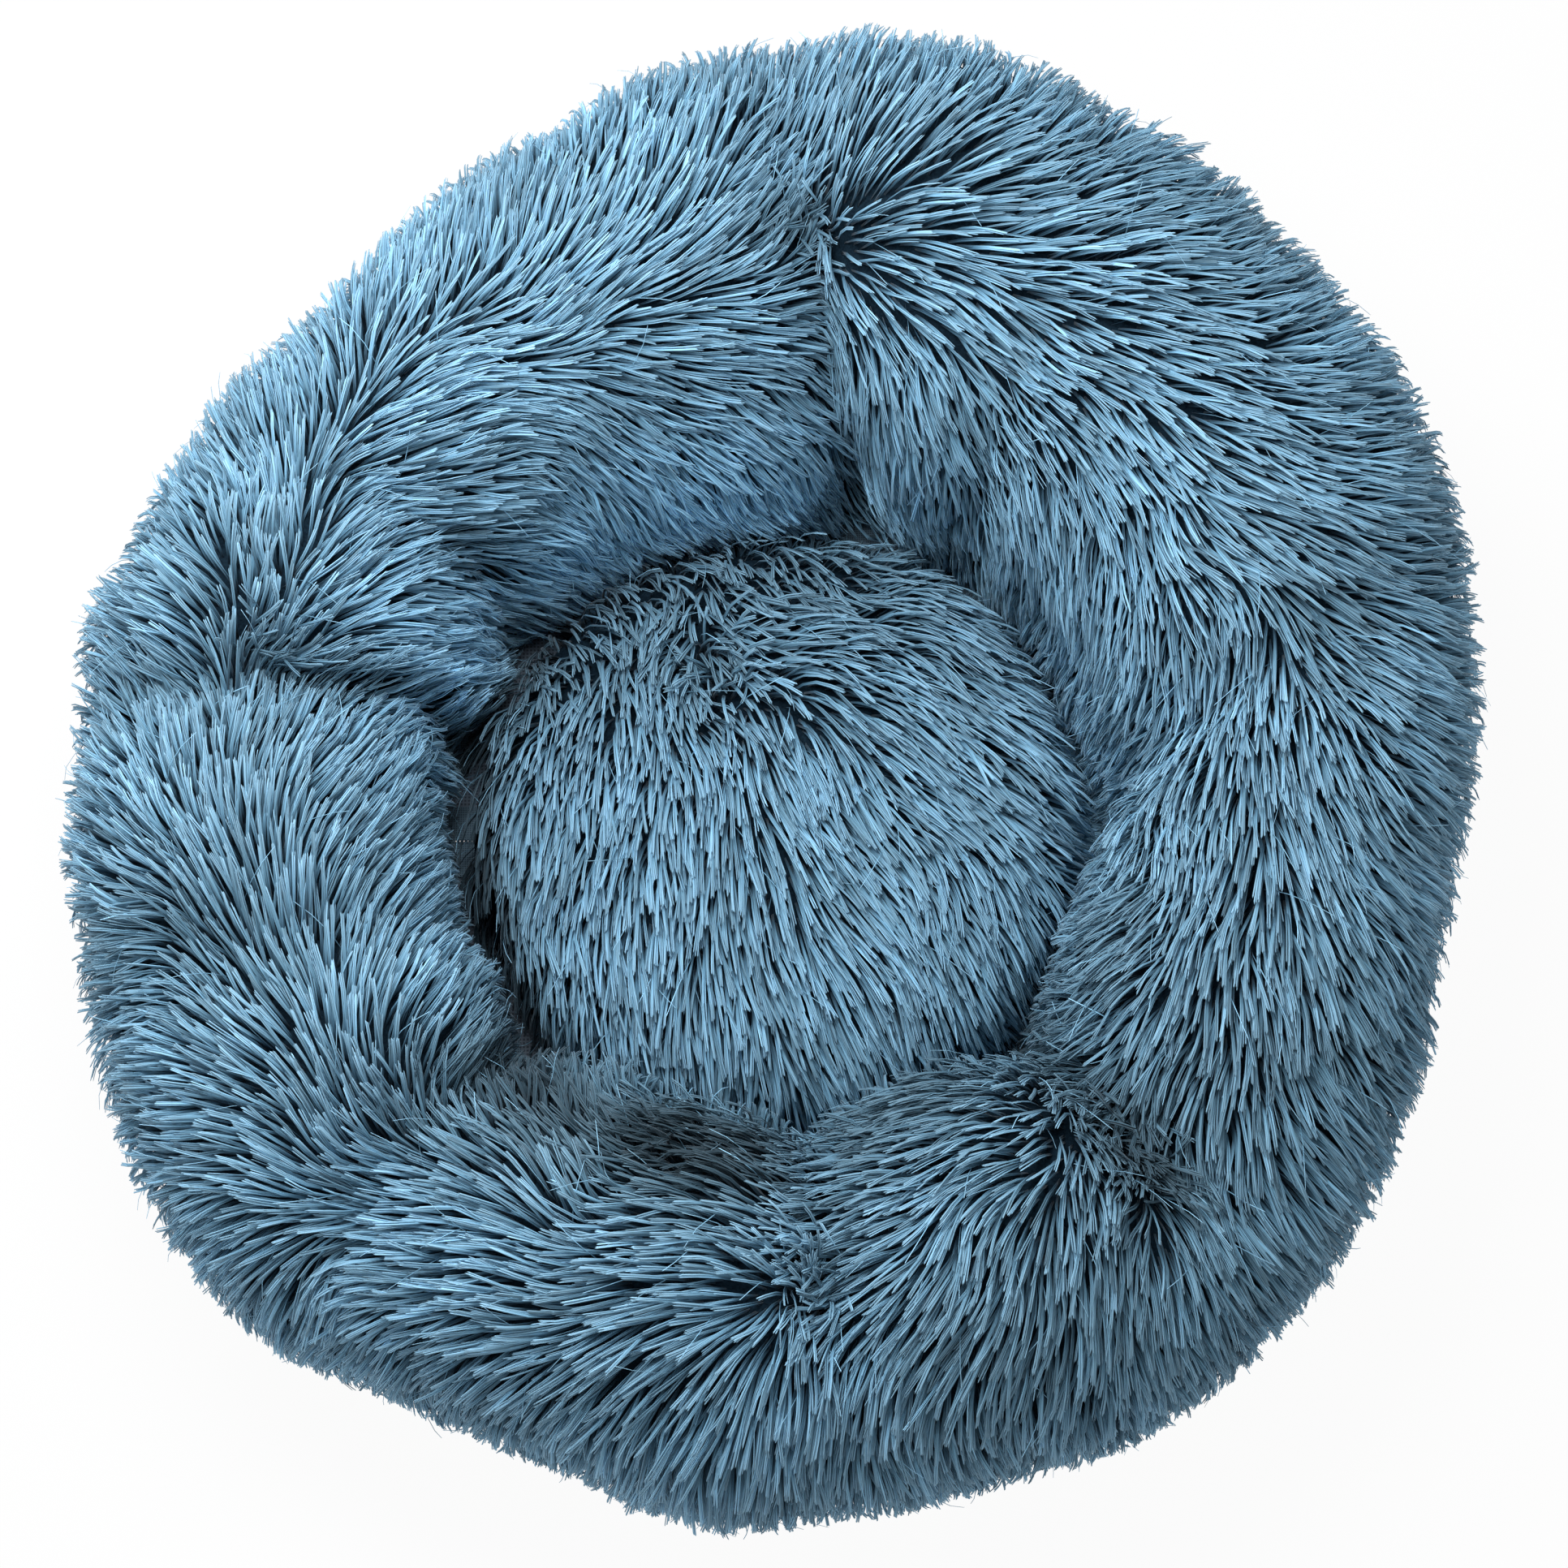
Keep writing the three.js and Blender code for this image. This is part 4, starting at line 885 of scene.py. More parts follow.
def ring_roots(spacing):
    """Places over the ring, in rows, about one spacing apart."""
    q = np.linspace(0, 1, 400)
    degrees = np.arange(0, FULL_TURN, 15)
    grid = ring_skin(degrees[:, None], q[None, :], BACKING_INSET)
    steps = np.linalg.norm(np.diff(grid, axis=1), axis=-1).mean(axis=0)
    run = np.concatenate([[0], np.cumsum(steps)])
    radius = np.hypot(grid[..., 0], grid[..., 1]).mean(axis=0)
    rows = int(run[-1] / spacing)
    a, b = [], []
    for row in range(rows):
        place = (row + 0.5) / rows
        here = np.interp(place * run[-1], run, q)
        count = int(math.tau * np.interp(here, q, radius) / spacing)
        shift = rng.uniform(-ROOT_JITTER, ROOT_JITTER, count) + 0.5 * (row % 2)
        a.append((np.arange(count) + shift) / count * FULL_TURN)
        shift = rng.uniform(-ROOT_JITTER, ROOT_JITTER, count) / rows
        b.append(np.interp((place + shift) * run[-1], run, q))
    return np.mod(np.concatenate(a), FULL_TURN), np.clip(np.concatenate(b), *ROOT_LIMITS)


def cushion_roots(spacing):
    """Places over the cushion, in rings from its middle out to its foot."""
    share = np.linspace(0, CUSHION_FOOT, 300)
    grid = cushion_skin(share, np.zeros_like(share), BACKING_INSET)
    run = np.concatenate([[0], np.cumsum(np.linalg.norm(np.diff(grid, axis=0), axis=-1))])
    rows = int(run[-1] / spacing)
    u, v = [], []
    for row in range(rows):
        place = (row + 0.5) / rows * run[-1]
        reach = np.interp(place, run, grid[:, 0])
        count = max(3, int(math.tau * reach / spacing))
        turn = (np.arange(count) + rng.uniform(-ROOT_JITTER, ROOT_JITTER, count)) / count * math.tau
        shift = rng.uniform(-ROOT_JITTER, ROOT_JITTER, count) * spacing
        radius = np.interp(place + shift, run, share)
        u.append(radius * np.cos(turn))
        v.append(radius * np.sin(turn))
    return np.concatenate(u), np.concatenate(v)


def ring_fall(way_a, way_b, degrees, q):
    return unit(way_b) * np.where(q > 0.5, 1, -1)[:, None]


def ring_limit(degrees, q):
    return degrees, np.clip(q, *LINE_LIMITS)


def cushion_fall(way_u, way_v, u, v):
    return unit(way_u * u[:, None] + way_v * v[:, None])


def cushion_limit(u, v):
    share = np.hypot(u, v)
    keep = np.minimum(1, (CUSHION_FOOT - CUSHION_EDGE_ROOM) / np.maximum(share, 1e-6))
    return u * keep, v * keep


def in_short_cover(degrees, q):
    """True on the shorter of the two lengths of fur, between the far seam and the left seam."""
    turn = np.mod(degrees - across(CREASES["far_seam"][0], q), FULL_TURN)
    return turn < across(CREASES["left_seam"][0], q) - across(CREASES["far_seam"][0], q)


def comb_skin(roots, ruffled_spacing, settings, bend):
    """Locks of one skin, then the places of their roots, then its strays."""
    skin, ruffle_and_shade_marks = settings[0], settings[-1]
    a, b, wild = with_ruffled(skin, *roots(LOCK_SPACING), *roots(ruffled_spacing), ruffle_and_shade_marks)
    lines, normals, dark = trace_locks(*settings, a, b, wild)
    kept = dark < PARTED_DARK
    lines, normals, dark, a, b = (part[kept] for part in (lines, normals, dark, a, b))
    lines, owner = clump(lines)
    stray_places = roots(STRAY_SPACING)
    stray_lines, stray_normals, _ = trace_locks(*settings, *stray_places, STRAY_WILDNESS)
    locks = (bend(lines), normals, dark, owner)
    return locks, (a, b), (bend(stray_lines), stray_normals), stray_places


def add_pile(material):
    settings = (ring_skin, RING_STEPS, -1, ring_fall, ring_limit, RING_COMBING, True, RING_RUFFLES_AND_PAINTED_SHADE)
    (lines, normals, dark, owner), places, strays, stray_places = comb_skin(
        ring_roots, LOCK_SPACING, settings, lambda lines: over_base(off_floor(lines)))
    short, stray_short = in_short_cover(*places), in_short_cover(*stray_places)
    for name, chosen, stray_chosen in (
        ("bolster_pile_short", short, stray_short),
        ("bolster_pile_long", ~short, ~stray_short),
    ):
        _, own = np.unique(owner[chosen], return_inverse=True)
        order = np.mod(places[0][chosen] - CREASES["left_seam"][0][1], FULL_TURN)
        locks = (lines[chosen], normals[chosen], dark[chosen], own)
        grow_pieces(name, locks, order, [part[stray_chosen] for part in strays], material)

    settings = (
        cushion_skin, CUSHION_STEPS, 1, cushion_fall, cushion_limit, CUSHION_COMBING, False, CUSHION_RUFFLES_AND_PAINTED_SHADE)
    locks, places, strays, _ = comb_skin(cushion_roots, RUFFLED_CUSHION_SPACING, settings, over_base)
    grow_pieces("cushion_pile", locks, places[1], strays, material)


# Grids and shells

def grid_quads(rows, columns, close_rows, close_columns, first=0):
    row = np.arange(rows if close_rows else rows - 1)[:, None]
    column = np.arange(columns if close_columns else columns - 1)[None, :]
    here, there = row * columns, (row + 1) % rows * columns
    after = (column + 1) % columns
    corners = [here + column, there + column, there + after, here + after]
    return first + np.stack(corners, axis=-1).reshape(-1, 4)


def shell_object(name, outside, inside, close_rows, material):
    """A closed shell between two grids of points. Rows run round the bed."""
    rows, columns = outside.shape[:2]
    half = rows * columns
    outer = grid_quads(rows, columns, close_rows, False)
    inner = grid_quads(rows, columns, close_rows, False, half)[:, ::-1]
    row = np.arange(rows if close_rows else rows - 1)
    after = (row + 1) % rows
    first, last = row * columns, row * columns + columns - 1
    first_after, last_after = after * columns, after * columns + columns - 1
    edges = [
        np.stack([first, half + first, half + first_after, first_after], axis=-1),
        np.stack([last, last_after, half + last_after, half + last], axis=-1),
    ]
    if not close_rows:
        start = np.arange(columns - 1)
        end = (rows - 1) * columns + start
        edges += [
            np.stack([start, start + 1, half + start + 1, half + start], axis=-1),
            np.stack([end, half + end, half + end + 1, end + 1], axis=-1),
        ]
    points = np.concatenate([outside.reshape(-1, 3), inside.reshape(-1, 3)])
    return outward(mesh_object(name, points, np.concatenate([outer, inner, *edges]), material=material))


def outward(made):
    """Turns a closed mesh's faces outward."""
    mesh = made.data
    mesh.calc_loop_triangles()
    points = np.empty(len(mesh.vertices) * 3, np.float32)
    mesh.vertices.foreach_get("co", points)
    corners = np.empty(len(mesh.loop_triangles) * 3, np.int32)
    mesh.loop_triangles.foreach_get("vertices", corners)
    a, b, c = points.reshape(-1, 3)[corners].reshape(-1, 3, 3).astype(float).transpose(1, 0, 2)
    if (a * np.cross(b, c)).sum() < 0:
        mesh.flip_normals()
    return made


def dress(made, body, slot, *nodes):
    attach(made, body)
    if nodes:
        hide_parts(*nodes)
    return made


# Covers, bags and fillings: rows of points round the bed and round the section, in degrees and counts
BACKING_STEP = 2
SECTION_ROWS = 72
RING_ROWS = 180
BAG_COLUMNS = 40
BAG_SEAM = 0.5
CUSHION_ROWS = 96


def backing_faces(skin, a, b):
    """Outer and inner face of a cover's backing over places of a skin."""
    insets = (BACKING_INSET, BACKING_INSET + BACKING_CLOTH)
    return [over_pocket(skin(a, b, inset), COVER_FLOOR) for inset in insets]


def cover_backing(name, first, last, turn, material, node):
    """Knitted backing of one length of fur, from seam to seam."""
    q = np.linspace(0, 1, SECTION_ROWS)
    start, end = across(CREASES[first][0], q), across(CREASES[last][0], q) + turn
    gap = math.degrees(SEAM_GAP / 2 / NEST_RADIUS)
    rows = int((end - start).max() / BACKING_STEP)
    share = np.linspace(0, 1, rows)[:, None]
    degrees = lerp(start + gap, end - gap, share)
    faces = backing_faces(ring_skin, degrees, q[None, :] + 0 * degrees)
    made = shell_object(name, *faces, False, material)
    dress(made, "bed", "fur", node)


def polar_grid(shares, count):
    turn = np.arange(count) / count * math.tau
    return shares[None, :] * np.cos(turn)[:, None], shares[None, :] * np.sin(turn)[:, None]


def add_covers(material):
    cover_backing("bolster_backing_short", "far_seam", "left_seam", 0, material, "bolster_cover_short")
    cover_backing("bolster_backing_long", "left_seam", "far_seam", FULL_TURN, material, "bolster_cover_long")
    shares = np.concatenate([[0.012], np.linspace(0.04, 1, 34), np.linspace(1.05, CUSHION_FOOT, 8)])
    faces = backing_faces(cushion_skin, *polar_grid(shares, 120))
    made = shell_object("cushion_backing", *faces, True, material)
    dress(made, "bed", "fur", "cushion_cover")


def ring_grid(from_angle, to_angle, inset, floor, columns=BAG_COLUMNS):
    degrees = np.arange(RING_ROWS)[:, None] * FULL_TURN / RING_ROWS
    angles = np.linspace(from_angle, to_angle, columns)[None, :]
    shape = ring_section(degrees + 0 * angles, angles + 0 * degrees, inset, floor)
    return over_pocket(shape, floor)


def add_ring_bag(material, fill_material):
    """The lining bag of the ring, in two halves, and the filling inside it."""
    for name, angles in (
        ("bolster_liner_upper", (180 - BAG_SEAM, BAG_SEAM)),
        ("bolster_liner_lower", (-BAG_SEAM, BAG_SEAM - 180)),
    ):
        outer = ring_grid(*angles, LINER_INSET, LINER_FLOOR)
        inner = ring_grid(*angles, LINER_INSET + LINER_CLOTH, LINER_FLOOR + LINER_CLOTH)
        made = shell_object(f"{name}_cloth", outer, inner, True, material)
        dress(made, "bed", "lining", name)
    last_angle = INNER_END_ANGLE - FULL_TURN * (SECTION_ROWS - 1) / SECTION_ROWS
    grid = ring_grid(INNER_END_ANGLE, last_angle, FILL_INSET, FILL_FLOOR, SECTION_ROWS)
    quads = grid_quads(RING_ROWS, SECTION_ROWS, True, True)
    made = outward(mesh_object("bolster_stuffing", grid, quads, material=fill_material))
    dress(made, "bed", "stuffing", "bolster_fill")


def add_cushion_filling(material):
    shares = np.concatenate([np.linspace(0.02, 1, 30), np.linspace(1.05, CUSHION_FOOT, 6)])
    u, v = polar_grid(shares, CUSHION_ROWS)
    top = over_pocket(cushion_skin(u, v, FILL_INSET, FILL_FLOOR), FILL_FLOOR)
    under = top[:, -1:] * np.linspace(0.92, 0.03, 16)[None, :, None]
    under[..., 2] = FILL_FLOOR
    under = over_pocket(under, FILL_FLOOR)
    rows = np.concatenate([top, under], axis=1)
    count, columns = rows.shape[:2]
    poles = [[0, 0, top[:, 0, 2].max()], [0, 0, under[:, -1, 2].max()]]
    points = np.concatenate([rows.reshape(-1, 3), poles])
    row = np.arange(count) * columns
    after = np.roll(row, -1)
    pole = np.full(count, count * columns)
    cap = np.stack([pole, after, row], axis=-1)
    base = np.stack([pole + 1, row + columns - 1, after + columns - 1], axis=-1)
    quads = grid_quads(count, columns, True, False)
    triangles = np.concatenate([cap, base])
    made = outward(mesh_object("cushion_stuffing", points, quads, triangles, material))
    dress(made, "bed", "stuffing", "cushion_fill")


def add_cushion_bag(material, fill_material):
    """The lining bag of the cushion, in two halves, and the filling inside it."""
    turn = np.linspace(1, 0.02, 30)
    side = np.linspace(1.01, CUSHION_FOOT, 6)
    foot = np.linspace(0.96, 0.04, 14)
    for name, shares, base in (("cushion_liner_upper", turn, ()), ("cushion_liner_lower", side, foot)):
        u, v = polar_grid(shares, CUSHION_ROWS)
        faces = []
        for depth in (0, LINER_CLOTH):
            grid = cushion_skin(u, v, LINER_INSET + depth, LINER_FLOOR + depth)
            if len(base):
                under = grid[:, -1:] * base[None, :, None]
                under[..., 2] = LINER_FLOOR + depth
                grid = np.concatenate([grid, under], axis=1)
            faces.append(over_pocket(grid, LINER_FLOOR + depth))
        made = shell_object(f"{name}_cloth", *faces, True, material)
        dress(made, "bed", "lining", name)
    add_cushion_filling(fill_material)


# Base cloth, its binding and grip dots
BASE_LIFT = 0.35
BASE_SHEET = 0.6
DOT_SPACING = 12
DOT_RADIUS = 1.6
STITCH_LENGTH = 3
STITCH_PITCH = 4.4
STITCH_RADIUS = 0.32
STITCH_LINES = (1.6, 4.4)
RIM_STITCH_INSET = 3.2
DOT_RIM_ROOM = 9


def base_edge(degrees, grow):
    foot = ring_section(degrees, np.full_like(degrees, OUTER_END_ANGLE, dtype=float), 0, COVER_FLOOR)
    radius = np.hypot(foot[..., 0], foot[..., 1]) + grow
    turn = np.radians(degrees)
    return np.stack([radius * np.cos(turn), radius * np.sin(turn)], axis=-1)


def cloth_height(x, y):
    return POCKET_DEPTH * pocket_share(x, y)


def slot_edge(count, side):
    """Places along the slot's edge on one side, evenly spaced, from its +X end to its -X end."""
    half, reach = SLOT_HALF_WIDTH, TAPE_HALF_LENGTH - END_TAB_LENGTH
    corners = np.array([(reach, SEAM_GAP / 2), (reach, half), (-reach, half), (-reach, SEAM_GAP / 2)])
    run = np.concatenate([[0], np.cumsum(np.linalg.norm(np.diff(corners, axis=0), axis=-1))])
    place = np.sort(np.concatenate([np.linspace(0, run[-1], count - 2), run[1:3]]))
    x, y = np.interp(place, run, corners[:, 0]), np.interp(place, run, corners[:, 1])
    return np.stack([x, y * side], axis=-1), place / run[-1]


def base_panel(name, side, material, node):
    inner, share = slot_edge(150, side)
    outer = base_edge(share * 180 * side, -0.2)
    outer[:, 1] = side * np.maximum(outer[:, 1] * side, SEAM_GAP / 2)
    reach = np.concatenate([np.linspace(0, 0.16, 12), np.linspace(0.19, 1, 30)])[None, :, None]
    plan = lerp(inner[:, None, :], outer[:, None, :], reach)
    height = cloth_height(plan[..., 0], plan[..., 1]) + BASE_LIFT
    made = shell_object(name, joined(plan, height + BASE_SHEET), joined(plan, height), False, material)
    dress(made, "bed", "base_cloth", node)


def capsules(name, middles, ways, radius, length, material, squash=1.0, sides=6):
    """Small rounded bars, as for stitches and dots, all in one mesh."""
    middles, ways = np.asarray(middles, float), unit(np.asarray(ways, float))
    up = np.zeros_like(ways)
    up[:, 2] = 1
    side = unit(np.cross(up, ways) + 1e-6)
    up = np.cross(ways, side)
    levels = np.array([(-0.5, 0.35), (-0.42, 0.8), (-0.2, 1), (0.2, 1), (0.42, 0.8), (0.5, 0.35)])
    turn = np.arange(sides) / sides * math.tau
    rings = []
    for place, size in levels:
        ring = middles[:, None] + ways[:, None] * place * length
        ring = ring + side[:, None] * (radius * size * np.cos(turn))[None, :, None]
        ring = ring + up[:, None] * (radius * size * squash * np.sin(turn))[None, :, None]
        rings.append(ring)
    points = np.stack(rings, axis=1).reshape(-1, 3)
    per = len(levels) * sides
    first = (np.arange(len(middles)) * per)[:, None, None]
    quads = grid_quads(len(levels), sides, False, True)[:, ::-1]
    start = np.arange(sides)
    fans = [(0, start[i + 1], start[i]) for i in range(1, sides - 1)]
    end = (len(levels) - 1) * sides
    fans += [(end, end + i, end + i + 1) for i in range(1, sides - 1)]
    return mesh_object(name, points, quads[None] + first, np.array(fans)[None] + first, material)


def add_binding(material):
    degrees = np.arange(0, FULL_TURN, 1.5)
    _, high = corners_of("base_binding")
    top = high.z
    section = [
        (0.2, 0.9), (0.5, 0.25), (1.6, 0), (2.4, 0.5), (2.75, 1.5), (2.6, 2.6), (1.9, top - 0.1), (0.9, top),
        (0.3, top - 0.9), (0.12, 1.9),
    ]
    grid = np.stack([joined(base_edge(degrees, grow), height) for grow, height in section], axis=1)
    quads = grid_quads(len(degrees), len(section), True, True)
    made = outward(mesh_object("base_binding_tape", grid, quads, material=material))
    dress(made, "bed", "tape", "base_binding")


def add_stitching(material):
    """Stitches round the binding and in two lines along each side of the zip."""
    rim = base_edge(np.arange(0, FULL_TURN, 1.5), 1)
    count = int(np.linalg.norm(np.diff(rim, axis=0), axis=-1).sum() / STITCH_PITCH)
    turn = np.arange(count) * FULL_TURN / count
    here, ahead = (base_edge(turn + step, -RIM_STITCH_INSET) for step in (0, 0.3))
    places, ways = [here], [ahead - here]
    x = np.arange(-TAPE_HALF_LENGTH + 4, TAPE_HALF_LENGTH - 4, STITCH_PITCH)
    for side in (-1, 1):
        for line in STITCH_LINES:
            y = np.full_like(x, side * (SLOT_HALF_WIDTH + line))
            places.append(np.stack([x, y], axis=-1))
            ways.append(np.tile([1.0, 0], (len(x), 1)))
    places, ways = np.concatenate(places), np.concatenate(ways)
    middles = joined(places, cloth_height(*places.T) + BASE_LIFT)
    made = capsules("base_stitching", middles, joined(ways, 0), STITCH_RADIUS, STITCH_LENGTH, material)
    dress(made, "bed", "tape")


def add_grip_dots(material):
    reach = int(OUTER_RADIUS / DOT_SPACING)
    cells = np.array([(i + 0.5 * (j % 2), j) for j in range(-reach, reach) for i in range(-reach, reach)])
    places = cells * np.array([DOT_SPACING, DOT_SPACING * math.sqrt(3) / 2])
    turn = np.degrees(np.arctan2(places[:, 1], places[:, 0]))
    inside = np.hypot(*places.T) < np.hypot(*base_edge(turn, -DOT_RIM_ROOM).T)
    dots = places[inside & (pocket_share(*places.T) <= 0)]
    ways = np.tile([1.0, 0, 0], (len(dots), 1))
    made = capsules("base_grip_dots", joined(dots, BASE_LIFT), ways, DOT_RADIUS, 2 * DOT_RADIUS, material,
                    squash=0.2, sides=10)
    dress(made, "bed", "base_cloth")


# Seam tapes, zip tapes and coils

def band(name, inner, outer, floor, top, material, node):
    """A closed band between two plan lines."""
    lines = (joined(inner, floor), joined(outer, floor), joined(outer, top), joined(inner, top))
    rows = np.stack(lines, axis=1)
    last = (len(rows) - 1) * 4
    quads = [grid_quads(len(rows), 4, False, True), [[0, 1, 2, 3]], [[last + 3, last + 2, last + 1, last]]]
    made = outward(mesh_object(name, rows, np.concatenate(quads), material=material, smooth=False))
    dress(made, "bed", "tape", node)


def add_seam_tapes(material):
    for name, side in (("nest_seam_tape_near", -1), ("nest_seam_tape_far", 1)):
        low, high = corners_of(name)
        start = math.degrees(math.asin((POCKET_HALF_WIDTH + POCKET_RAMP + 2) / NEST_RADIUS))
        degrees = np.linspace(start, 180 - start, 120) * side
        turn = np.radians(degrees)
        way = np.stack([np.cos(turn), np.sin(turn)], axis=-1)
        foot = ring_section(degrees, np.full_like(degrees, INNER_END_ANGLE), 0, COVER_FLOOR)
        inner = way * (NEST_RADIUS - CUSHION_GAP + CUSHION_FLARE + LAYER_GAP)
        outer = way * (np.hypot(foot[:, 0], foot[:, 1]) - SEAT_GAP)[:, None]
        band(f"{name}_cloth", inner, outer, low.z, high.z, material, name)


TAPE_RIBS = 11
TAPE_RIB_DEPTH = 0.07


def rib_sheet(name, node, material):
    """A zip tape: a flat woven band with fine ribs along it."""
    low, high = corners_of(node)
    x = np.linspace(low.x, high.x, 240)
    share = np.linspace(0, 1, 46)
    y = lerp(low.y, high.y, share)
    ribs = TAPE_RIB_DEPTH * np.cos(share * math.tau * TAPE_RIBS) - TAPE_RIB_DEPTH
    top = np.stack(np.broadcast_arrays(x[:, None], y[None, :], (high.z + ribs)[None, :]), axis=-1)
    bottom = np.stack(np.broadcast_arrays(x[:, None], y[None, :], (low.z - ribs)[None, :]), axis=-1)
    made = shell_object(name, top, bottom, False, material)
    dress(made, "bed", "tape", node)


TOOTH_PITCH = 1.7
TOOTH_RADIUS = 0.42
TOOTH_SQUARENESS = 10 / 3
TOOTH_CROWN_SQUARENESS = 2.5
WIRE_INSET = 0.45
HEAD_REACH = 1.25
SLIDER_POST_LENGTH = 6
SLIDER_TRAVEL = 346


def interlocked(x):
    """1 where the rows of teeth interlock, 0 where the slider's post stands at either end of its travel."""
    _, slider_high = corners_of("zip_slider")
    post_end = slider_high.x
    post_start = post_end - SLIDER_POST_LENGTH
    left = smooth_step(x, post_end - SLIDER_TRAVEL + 1, post_end - SLIDER_TRAVEL + 5)
    return left * (1 - smooth_step(x, post_start - 5, post_start - 1))


def coil(name, node, side, material):
    """A row of wound nylon teeth: a loop over the tape's edge at every pitch. The two rows interlock."""
    low, high = corners_of(node)
    middle_z, half_z = (low.z + high.z) / 2, (high.z - low.z) / 2 - TOOTH_RADIUS * 0.8
    head, heel = (high.y, low.y) if side < 0 else (low.y, high.y)
    head, heel = head + side * WIRE_INSET, heel - side * WIRE_INSET
    turns = int((high.x - low.x - 2) / TOOTH_PITCH)
    steps = 10
    t = np.arange(turns * steps + 1) / steps
    angle = t * math.tau
    x = low.x + 1 + (t + (0.5 if side > 0 else 0)) * TOOTH_PITCH
    head = head - side * HEAD_REACH * interlocked(x)
    y = (head + heel) / 2 + (head - heel) / 2 * rounded(np.cos(angle), TOOTH_SQUARENESS)
    z = middle_z + half_z * rounded(np.sin(angle), TOOTH_CROWN_SQUARENESS)
    line = np.stack([x, y, z], axis=-1)
    way = unit(np.gradient(line, axis=0))
    side_way = unit(np.cross(way, np.array([0.9, 0.3, 0.2])))
    up = np.cross(way, side_way)
    around_line = np.arange(6) / 6 * math.tau
    ring = (line[:, None] + TOOTH_RADIUS * (side_way[:, None] * np.cos(around_line)[None, :, None]
                                          + up[:, None] * np.sin(around_line)[None, :, None]))
    count = len(line)
    quads = grid_quads(count, 6, False, True)
    ends = np.array([(0, 1, 2, 3), (0, 3, 4, 5)])
    quads = np.concatenate([quads, ends, ends[:, ::-1] + (count - 1) * 6])
    made = outward(mesh_object(name, ring, quads, material=material))
    dress(made, "bed", "zip_nylon", node)


SOFT_EDGE = 0.22


def add_zip(tape, nylon, metal):
    rib_sheet("zip_tape_near_cloth", "zip_tape_near", tape)
    rib_sheet("zip_tape_far_cloth", "zip_tape_far", tape)
    coil("zip_coil_near_wound", "zip_coil_near", -1, nylon)
    coil("zip_coil_far_wound", "zip_coil_far", 1, nylon)
    metal_nodes = ("zip_top_stop_near", "zip_top_stop_far", "zip_bottom_stop", "zip_slider", "zip_pull_tab")
    for name in (*metal_nodes, "zip_end_tab_left", "zip_end_tab_right"):
        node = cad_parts[name]
        node.data.materials.clear()
        node.data.materials.append(metal if name in metal_nodes else tape)
        soften = node.modifiers.new("soft_edges", "BEVEL")
        soften.width = SOFT_EDGE * MM
        soften.segments = 2
        soften.limit_method = "ANGLE"


# Materials

class Nodes:
    """A small builder for a material's node tree."""

    def __init__(self, name, roughness=0.6, specular=0.3, metallic=0.0):
        self.material = bpy.data.materials.new(name)
        self.material.use_nodes = True
        self.tree = self.material.node_tree
        self.shader = self.tree.nodes["Principled BSDF"]
        self.shader.inputs["Roughness"].default_value = roughness
        self.shader.inputs["Specular IOR Level"].default_value = specular
        self.shader.inputs["Metallic"].default_value = metallic

    def add(self, kind, **settings):
        node = self.tree.nodes.new(kind)
        for name, value in settings.items():
            setattr(node, name, value)
        return node

    def link(self, output, target):
        self.tree.links.new(output, target)

    def attribute(self, name):
        return self.add("ShaderNodeAttribute", attribute_name=name).outputs["Fac"]

    def ramp(self, factor, stops):
        node = self.add("ShaderNodeValToRGB")
        while len(node.color_ramp.elements) < len(stops):
            node.color_ramp.elements.new(0.5)
        for element, (place, color) in zip(node.color_ramp.elements, stops):
            element.position = place
            element.color = (*color, 1)
        self.link(factor, node.inputs["Fac"])
        return node.outputs["Color"]

    def span(self, value, low, high, from_low=0.0, from_high=1.0):
        node = self.add("ShaderNodeMapRange")
        limits = {"From Min": from_low, "From Max": from_high, "To Min": low, "To Max": high}
        for name, number in limits.items():
            node.inputs[name].default_value = number
        self.link(value, node.inputs["Value"])
        return node.outputs["Result"]

    def math(self, operation, first, second):
        node = self.add("ShaderNodeMath", operation=operation)
        self.link(first, node.inputs[0])
        self.link(second, node.inputs[1])
        return node.outputs["Value"]

    def noise(self, scale, detail=2.0, roughness=0.5, stretch=None, uv=False):
        node = self.add("ShaderNodeTexNoise")
        node.inputs["Scale"].default_value = scale
        node.inputs["Detail"].default_value = detail
        node.inputs["Roughness"].default_value = roughness
        coordinates = self.add("ShaderNodeTexCoord").outputs["Object"]
        if uv:
            coordinates = self.add("ShaderNodeUVMap", uv_map="OFBake").outputs["UV"]
        if stretch:
            mapping = self.add("ShaderNodeMapping")
            mapping.inputs["Scale"].default_value = stretch
            self.link(coordinates, mapping.inputs["Vector"])
            coordinates = mapping.outputs["Vector"]
        self.link(coordinates, node.inputs["Vector"])
        return node.outputs["Fac"]

    def brighten(self, color, factor):
        node = self.add("ShaderNodeHueSaturation")
        self.link(color, node.inputs["Color"])
        self.link(factor, node.inputs["Value"])
        return node.outputs["Color"]

    def bump(self, height, strength, distance):
        node = self.add("ShaderNodeBump")
        node.inputs["Strength"].default_value = strength
        node.inputs["Distance"].default_value = distance
        self.link(height, node.inputs["Height"])
        self.link(node.outputs["Normal"], self.shader.inputs["Normal"])

    def color(self, color):
        self.link(color, self.shader.inputs["Base Color"])
        return self.material


# Colours of the pile from root to tip, linear. The darkening towards the root is partly the fibre's own
# colour and partly painted shade, standing for the shadow deep in the pile.
PILE_ROOT = (0.008, 0.022, 0.04)
PILE_DEEP = (0.07, 0.165, 0.25)
PILE_MIDDLE = (0.18, 0.375, 0.53)
PILE_TIP = (0.3, 0.545, 0.73)


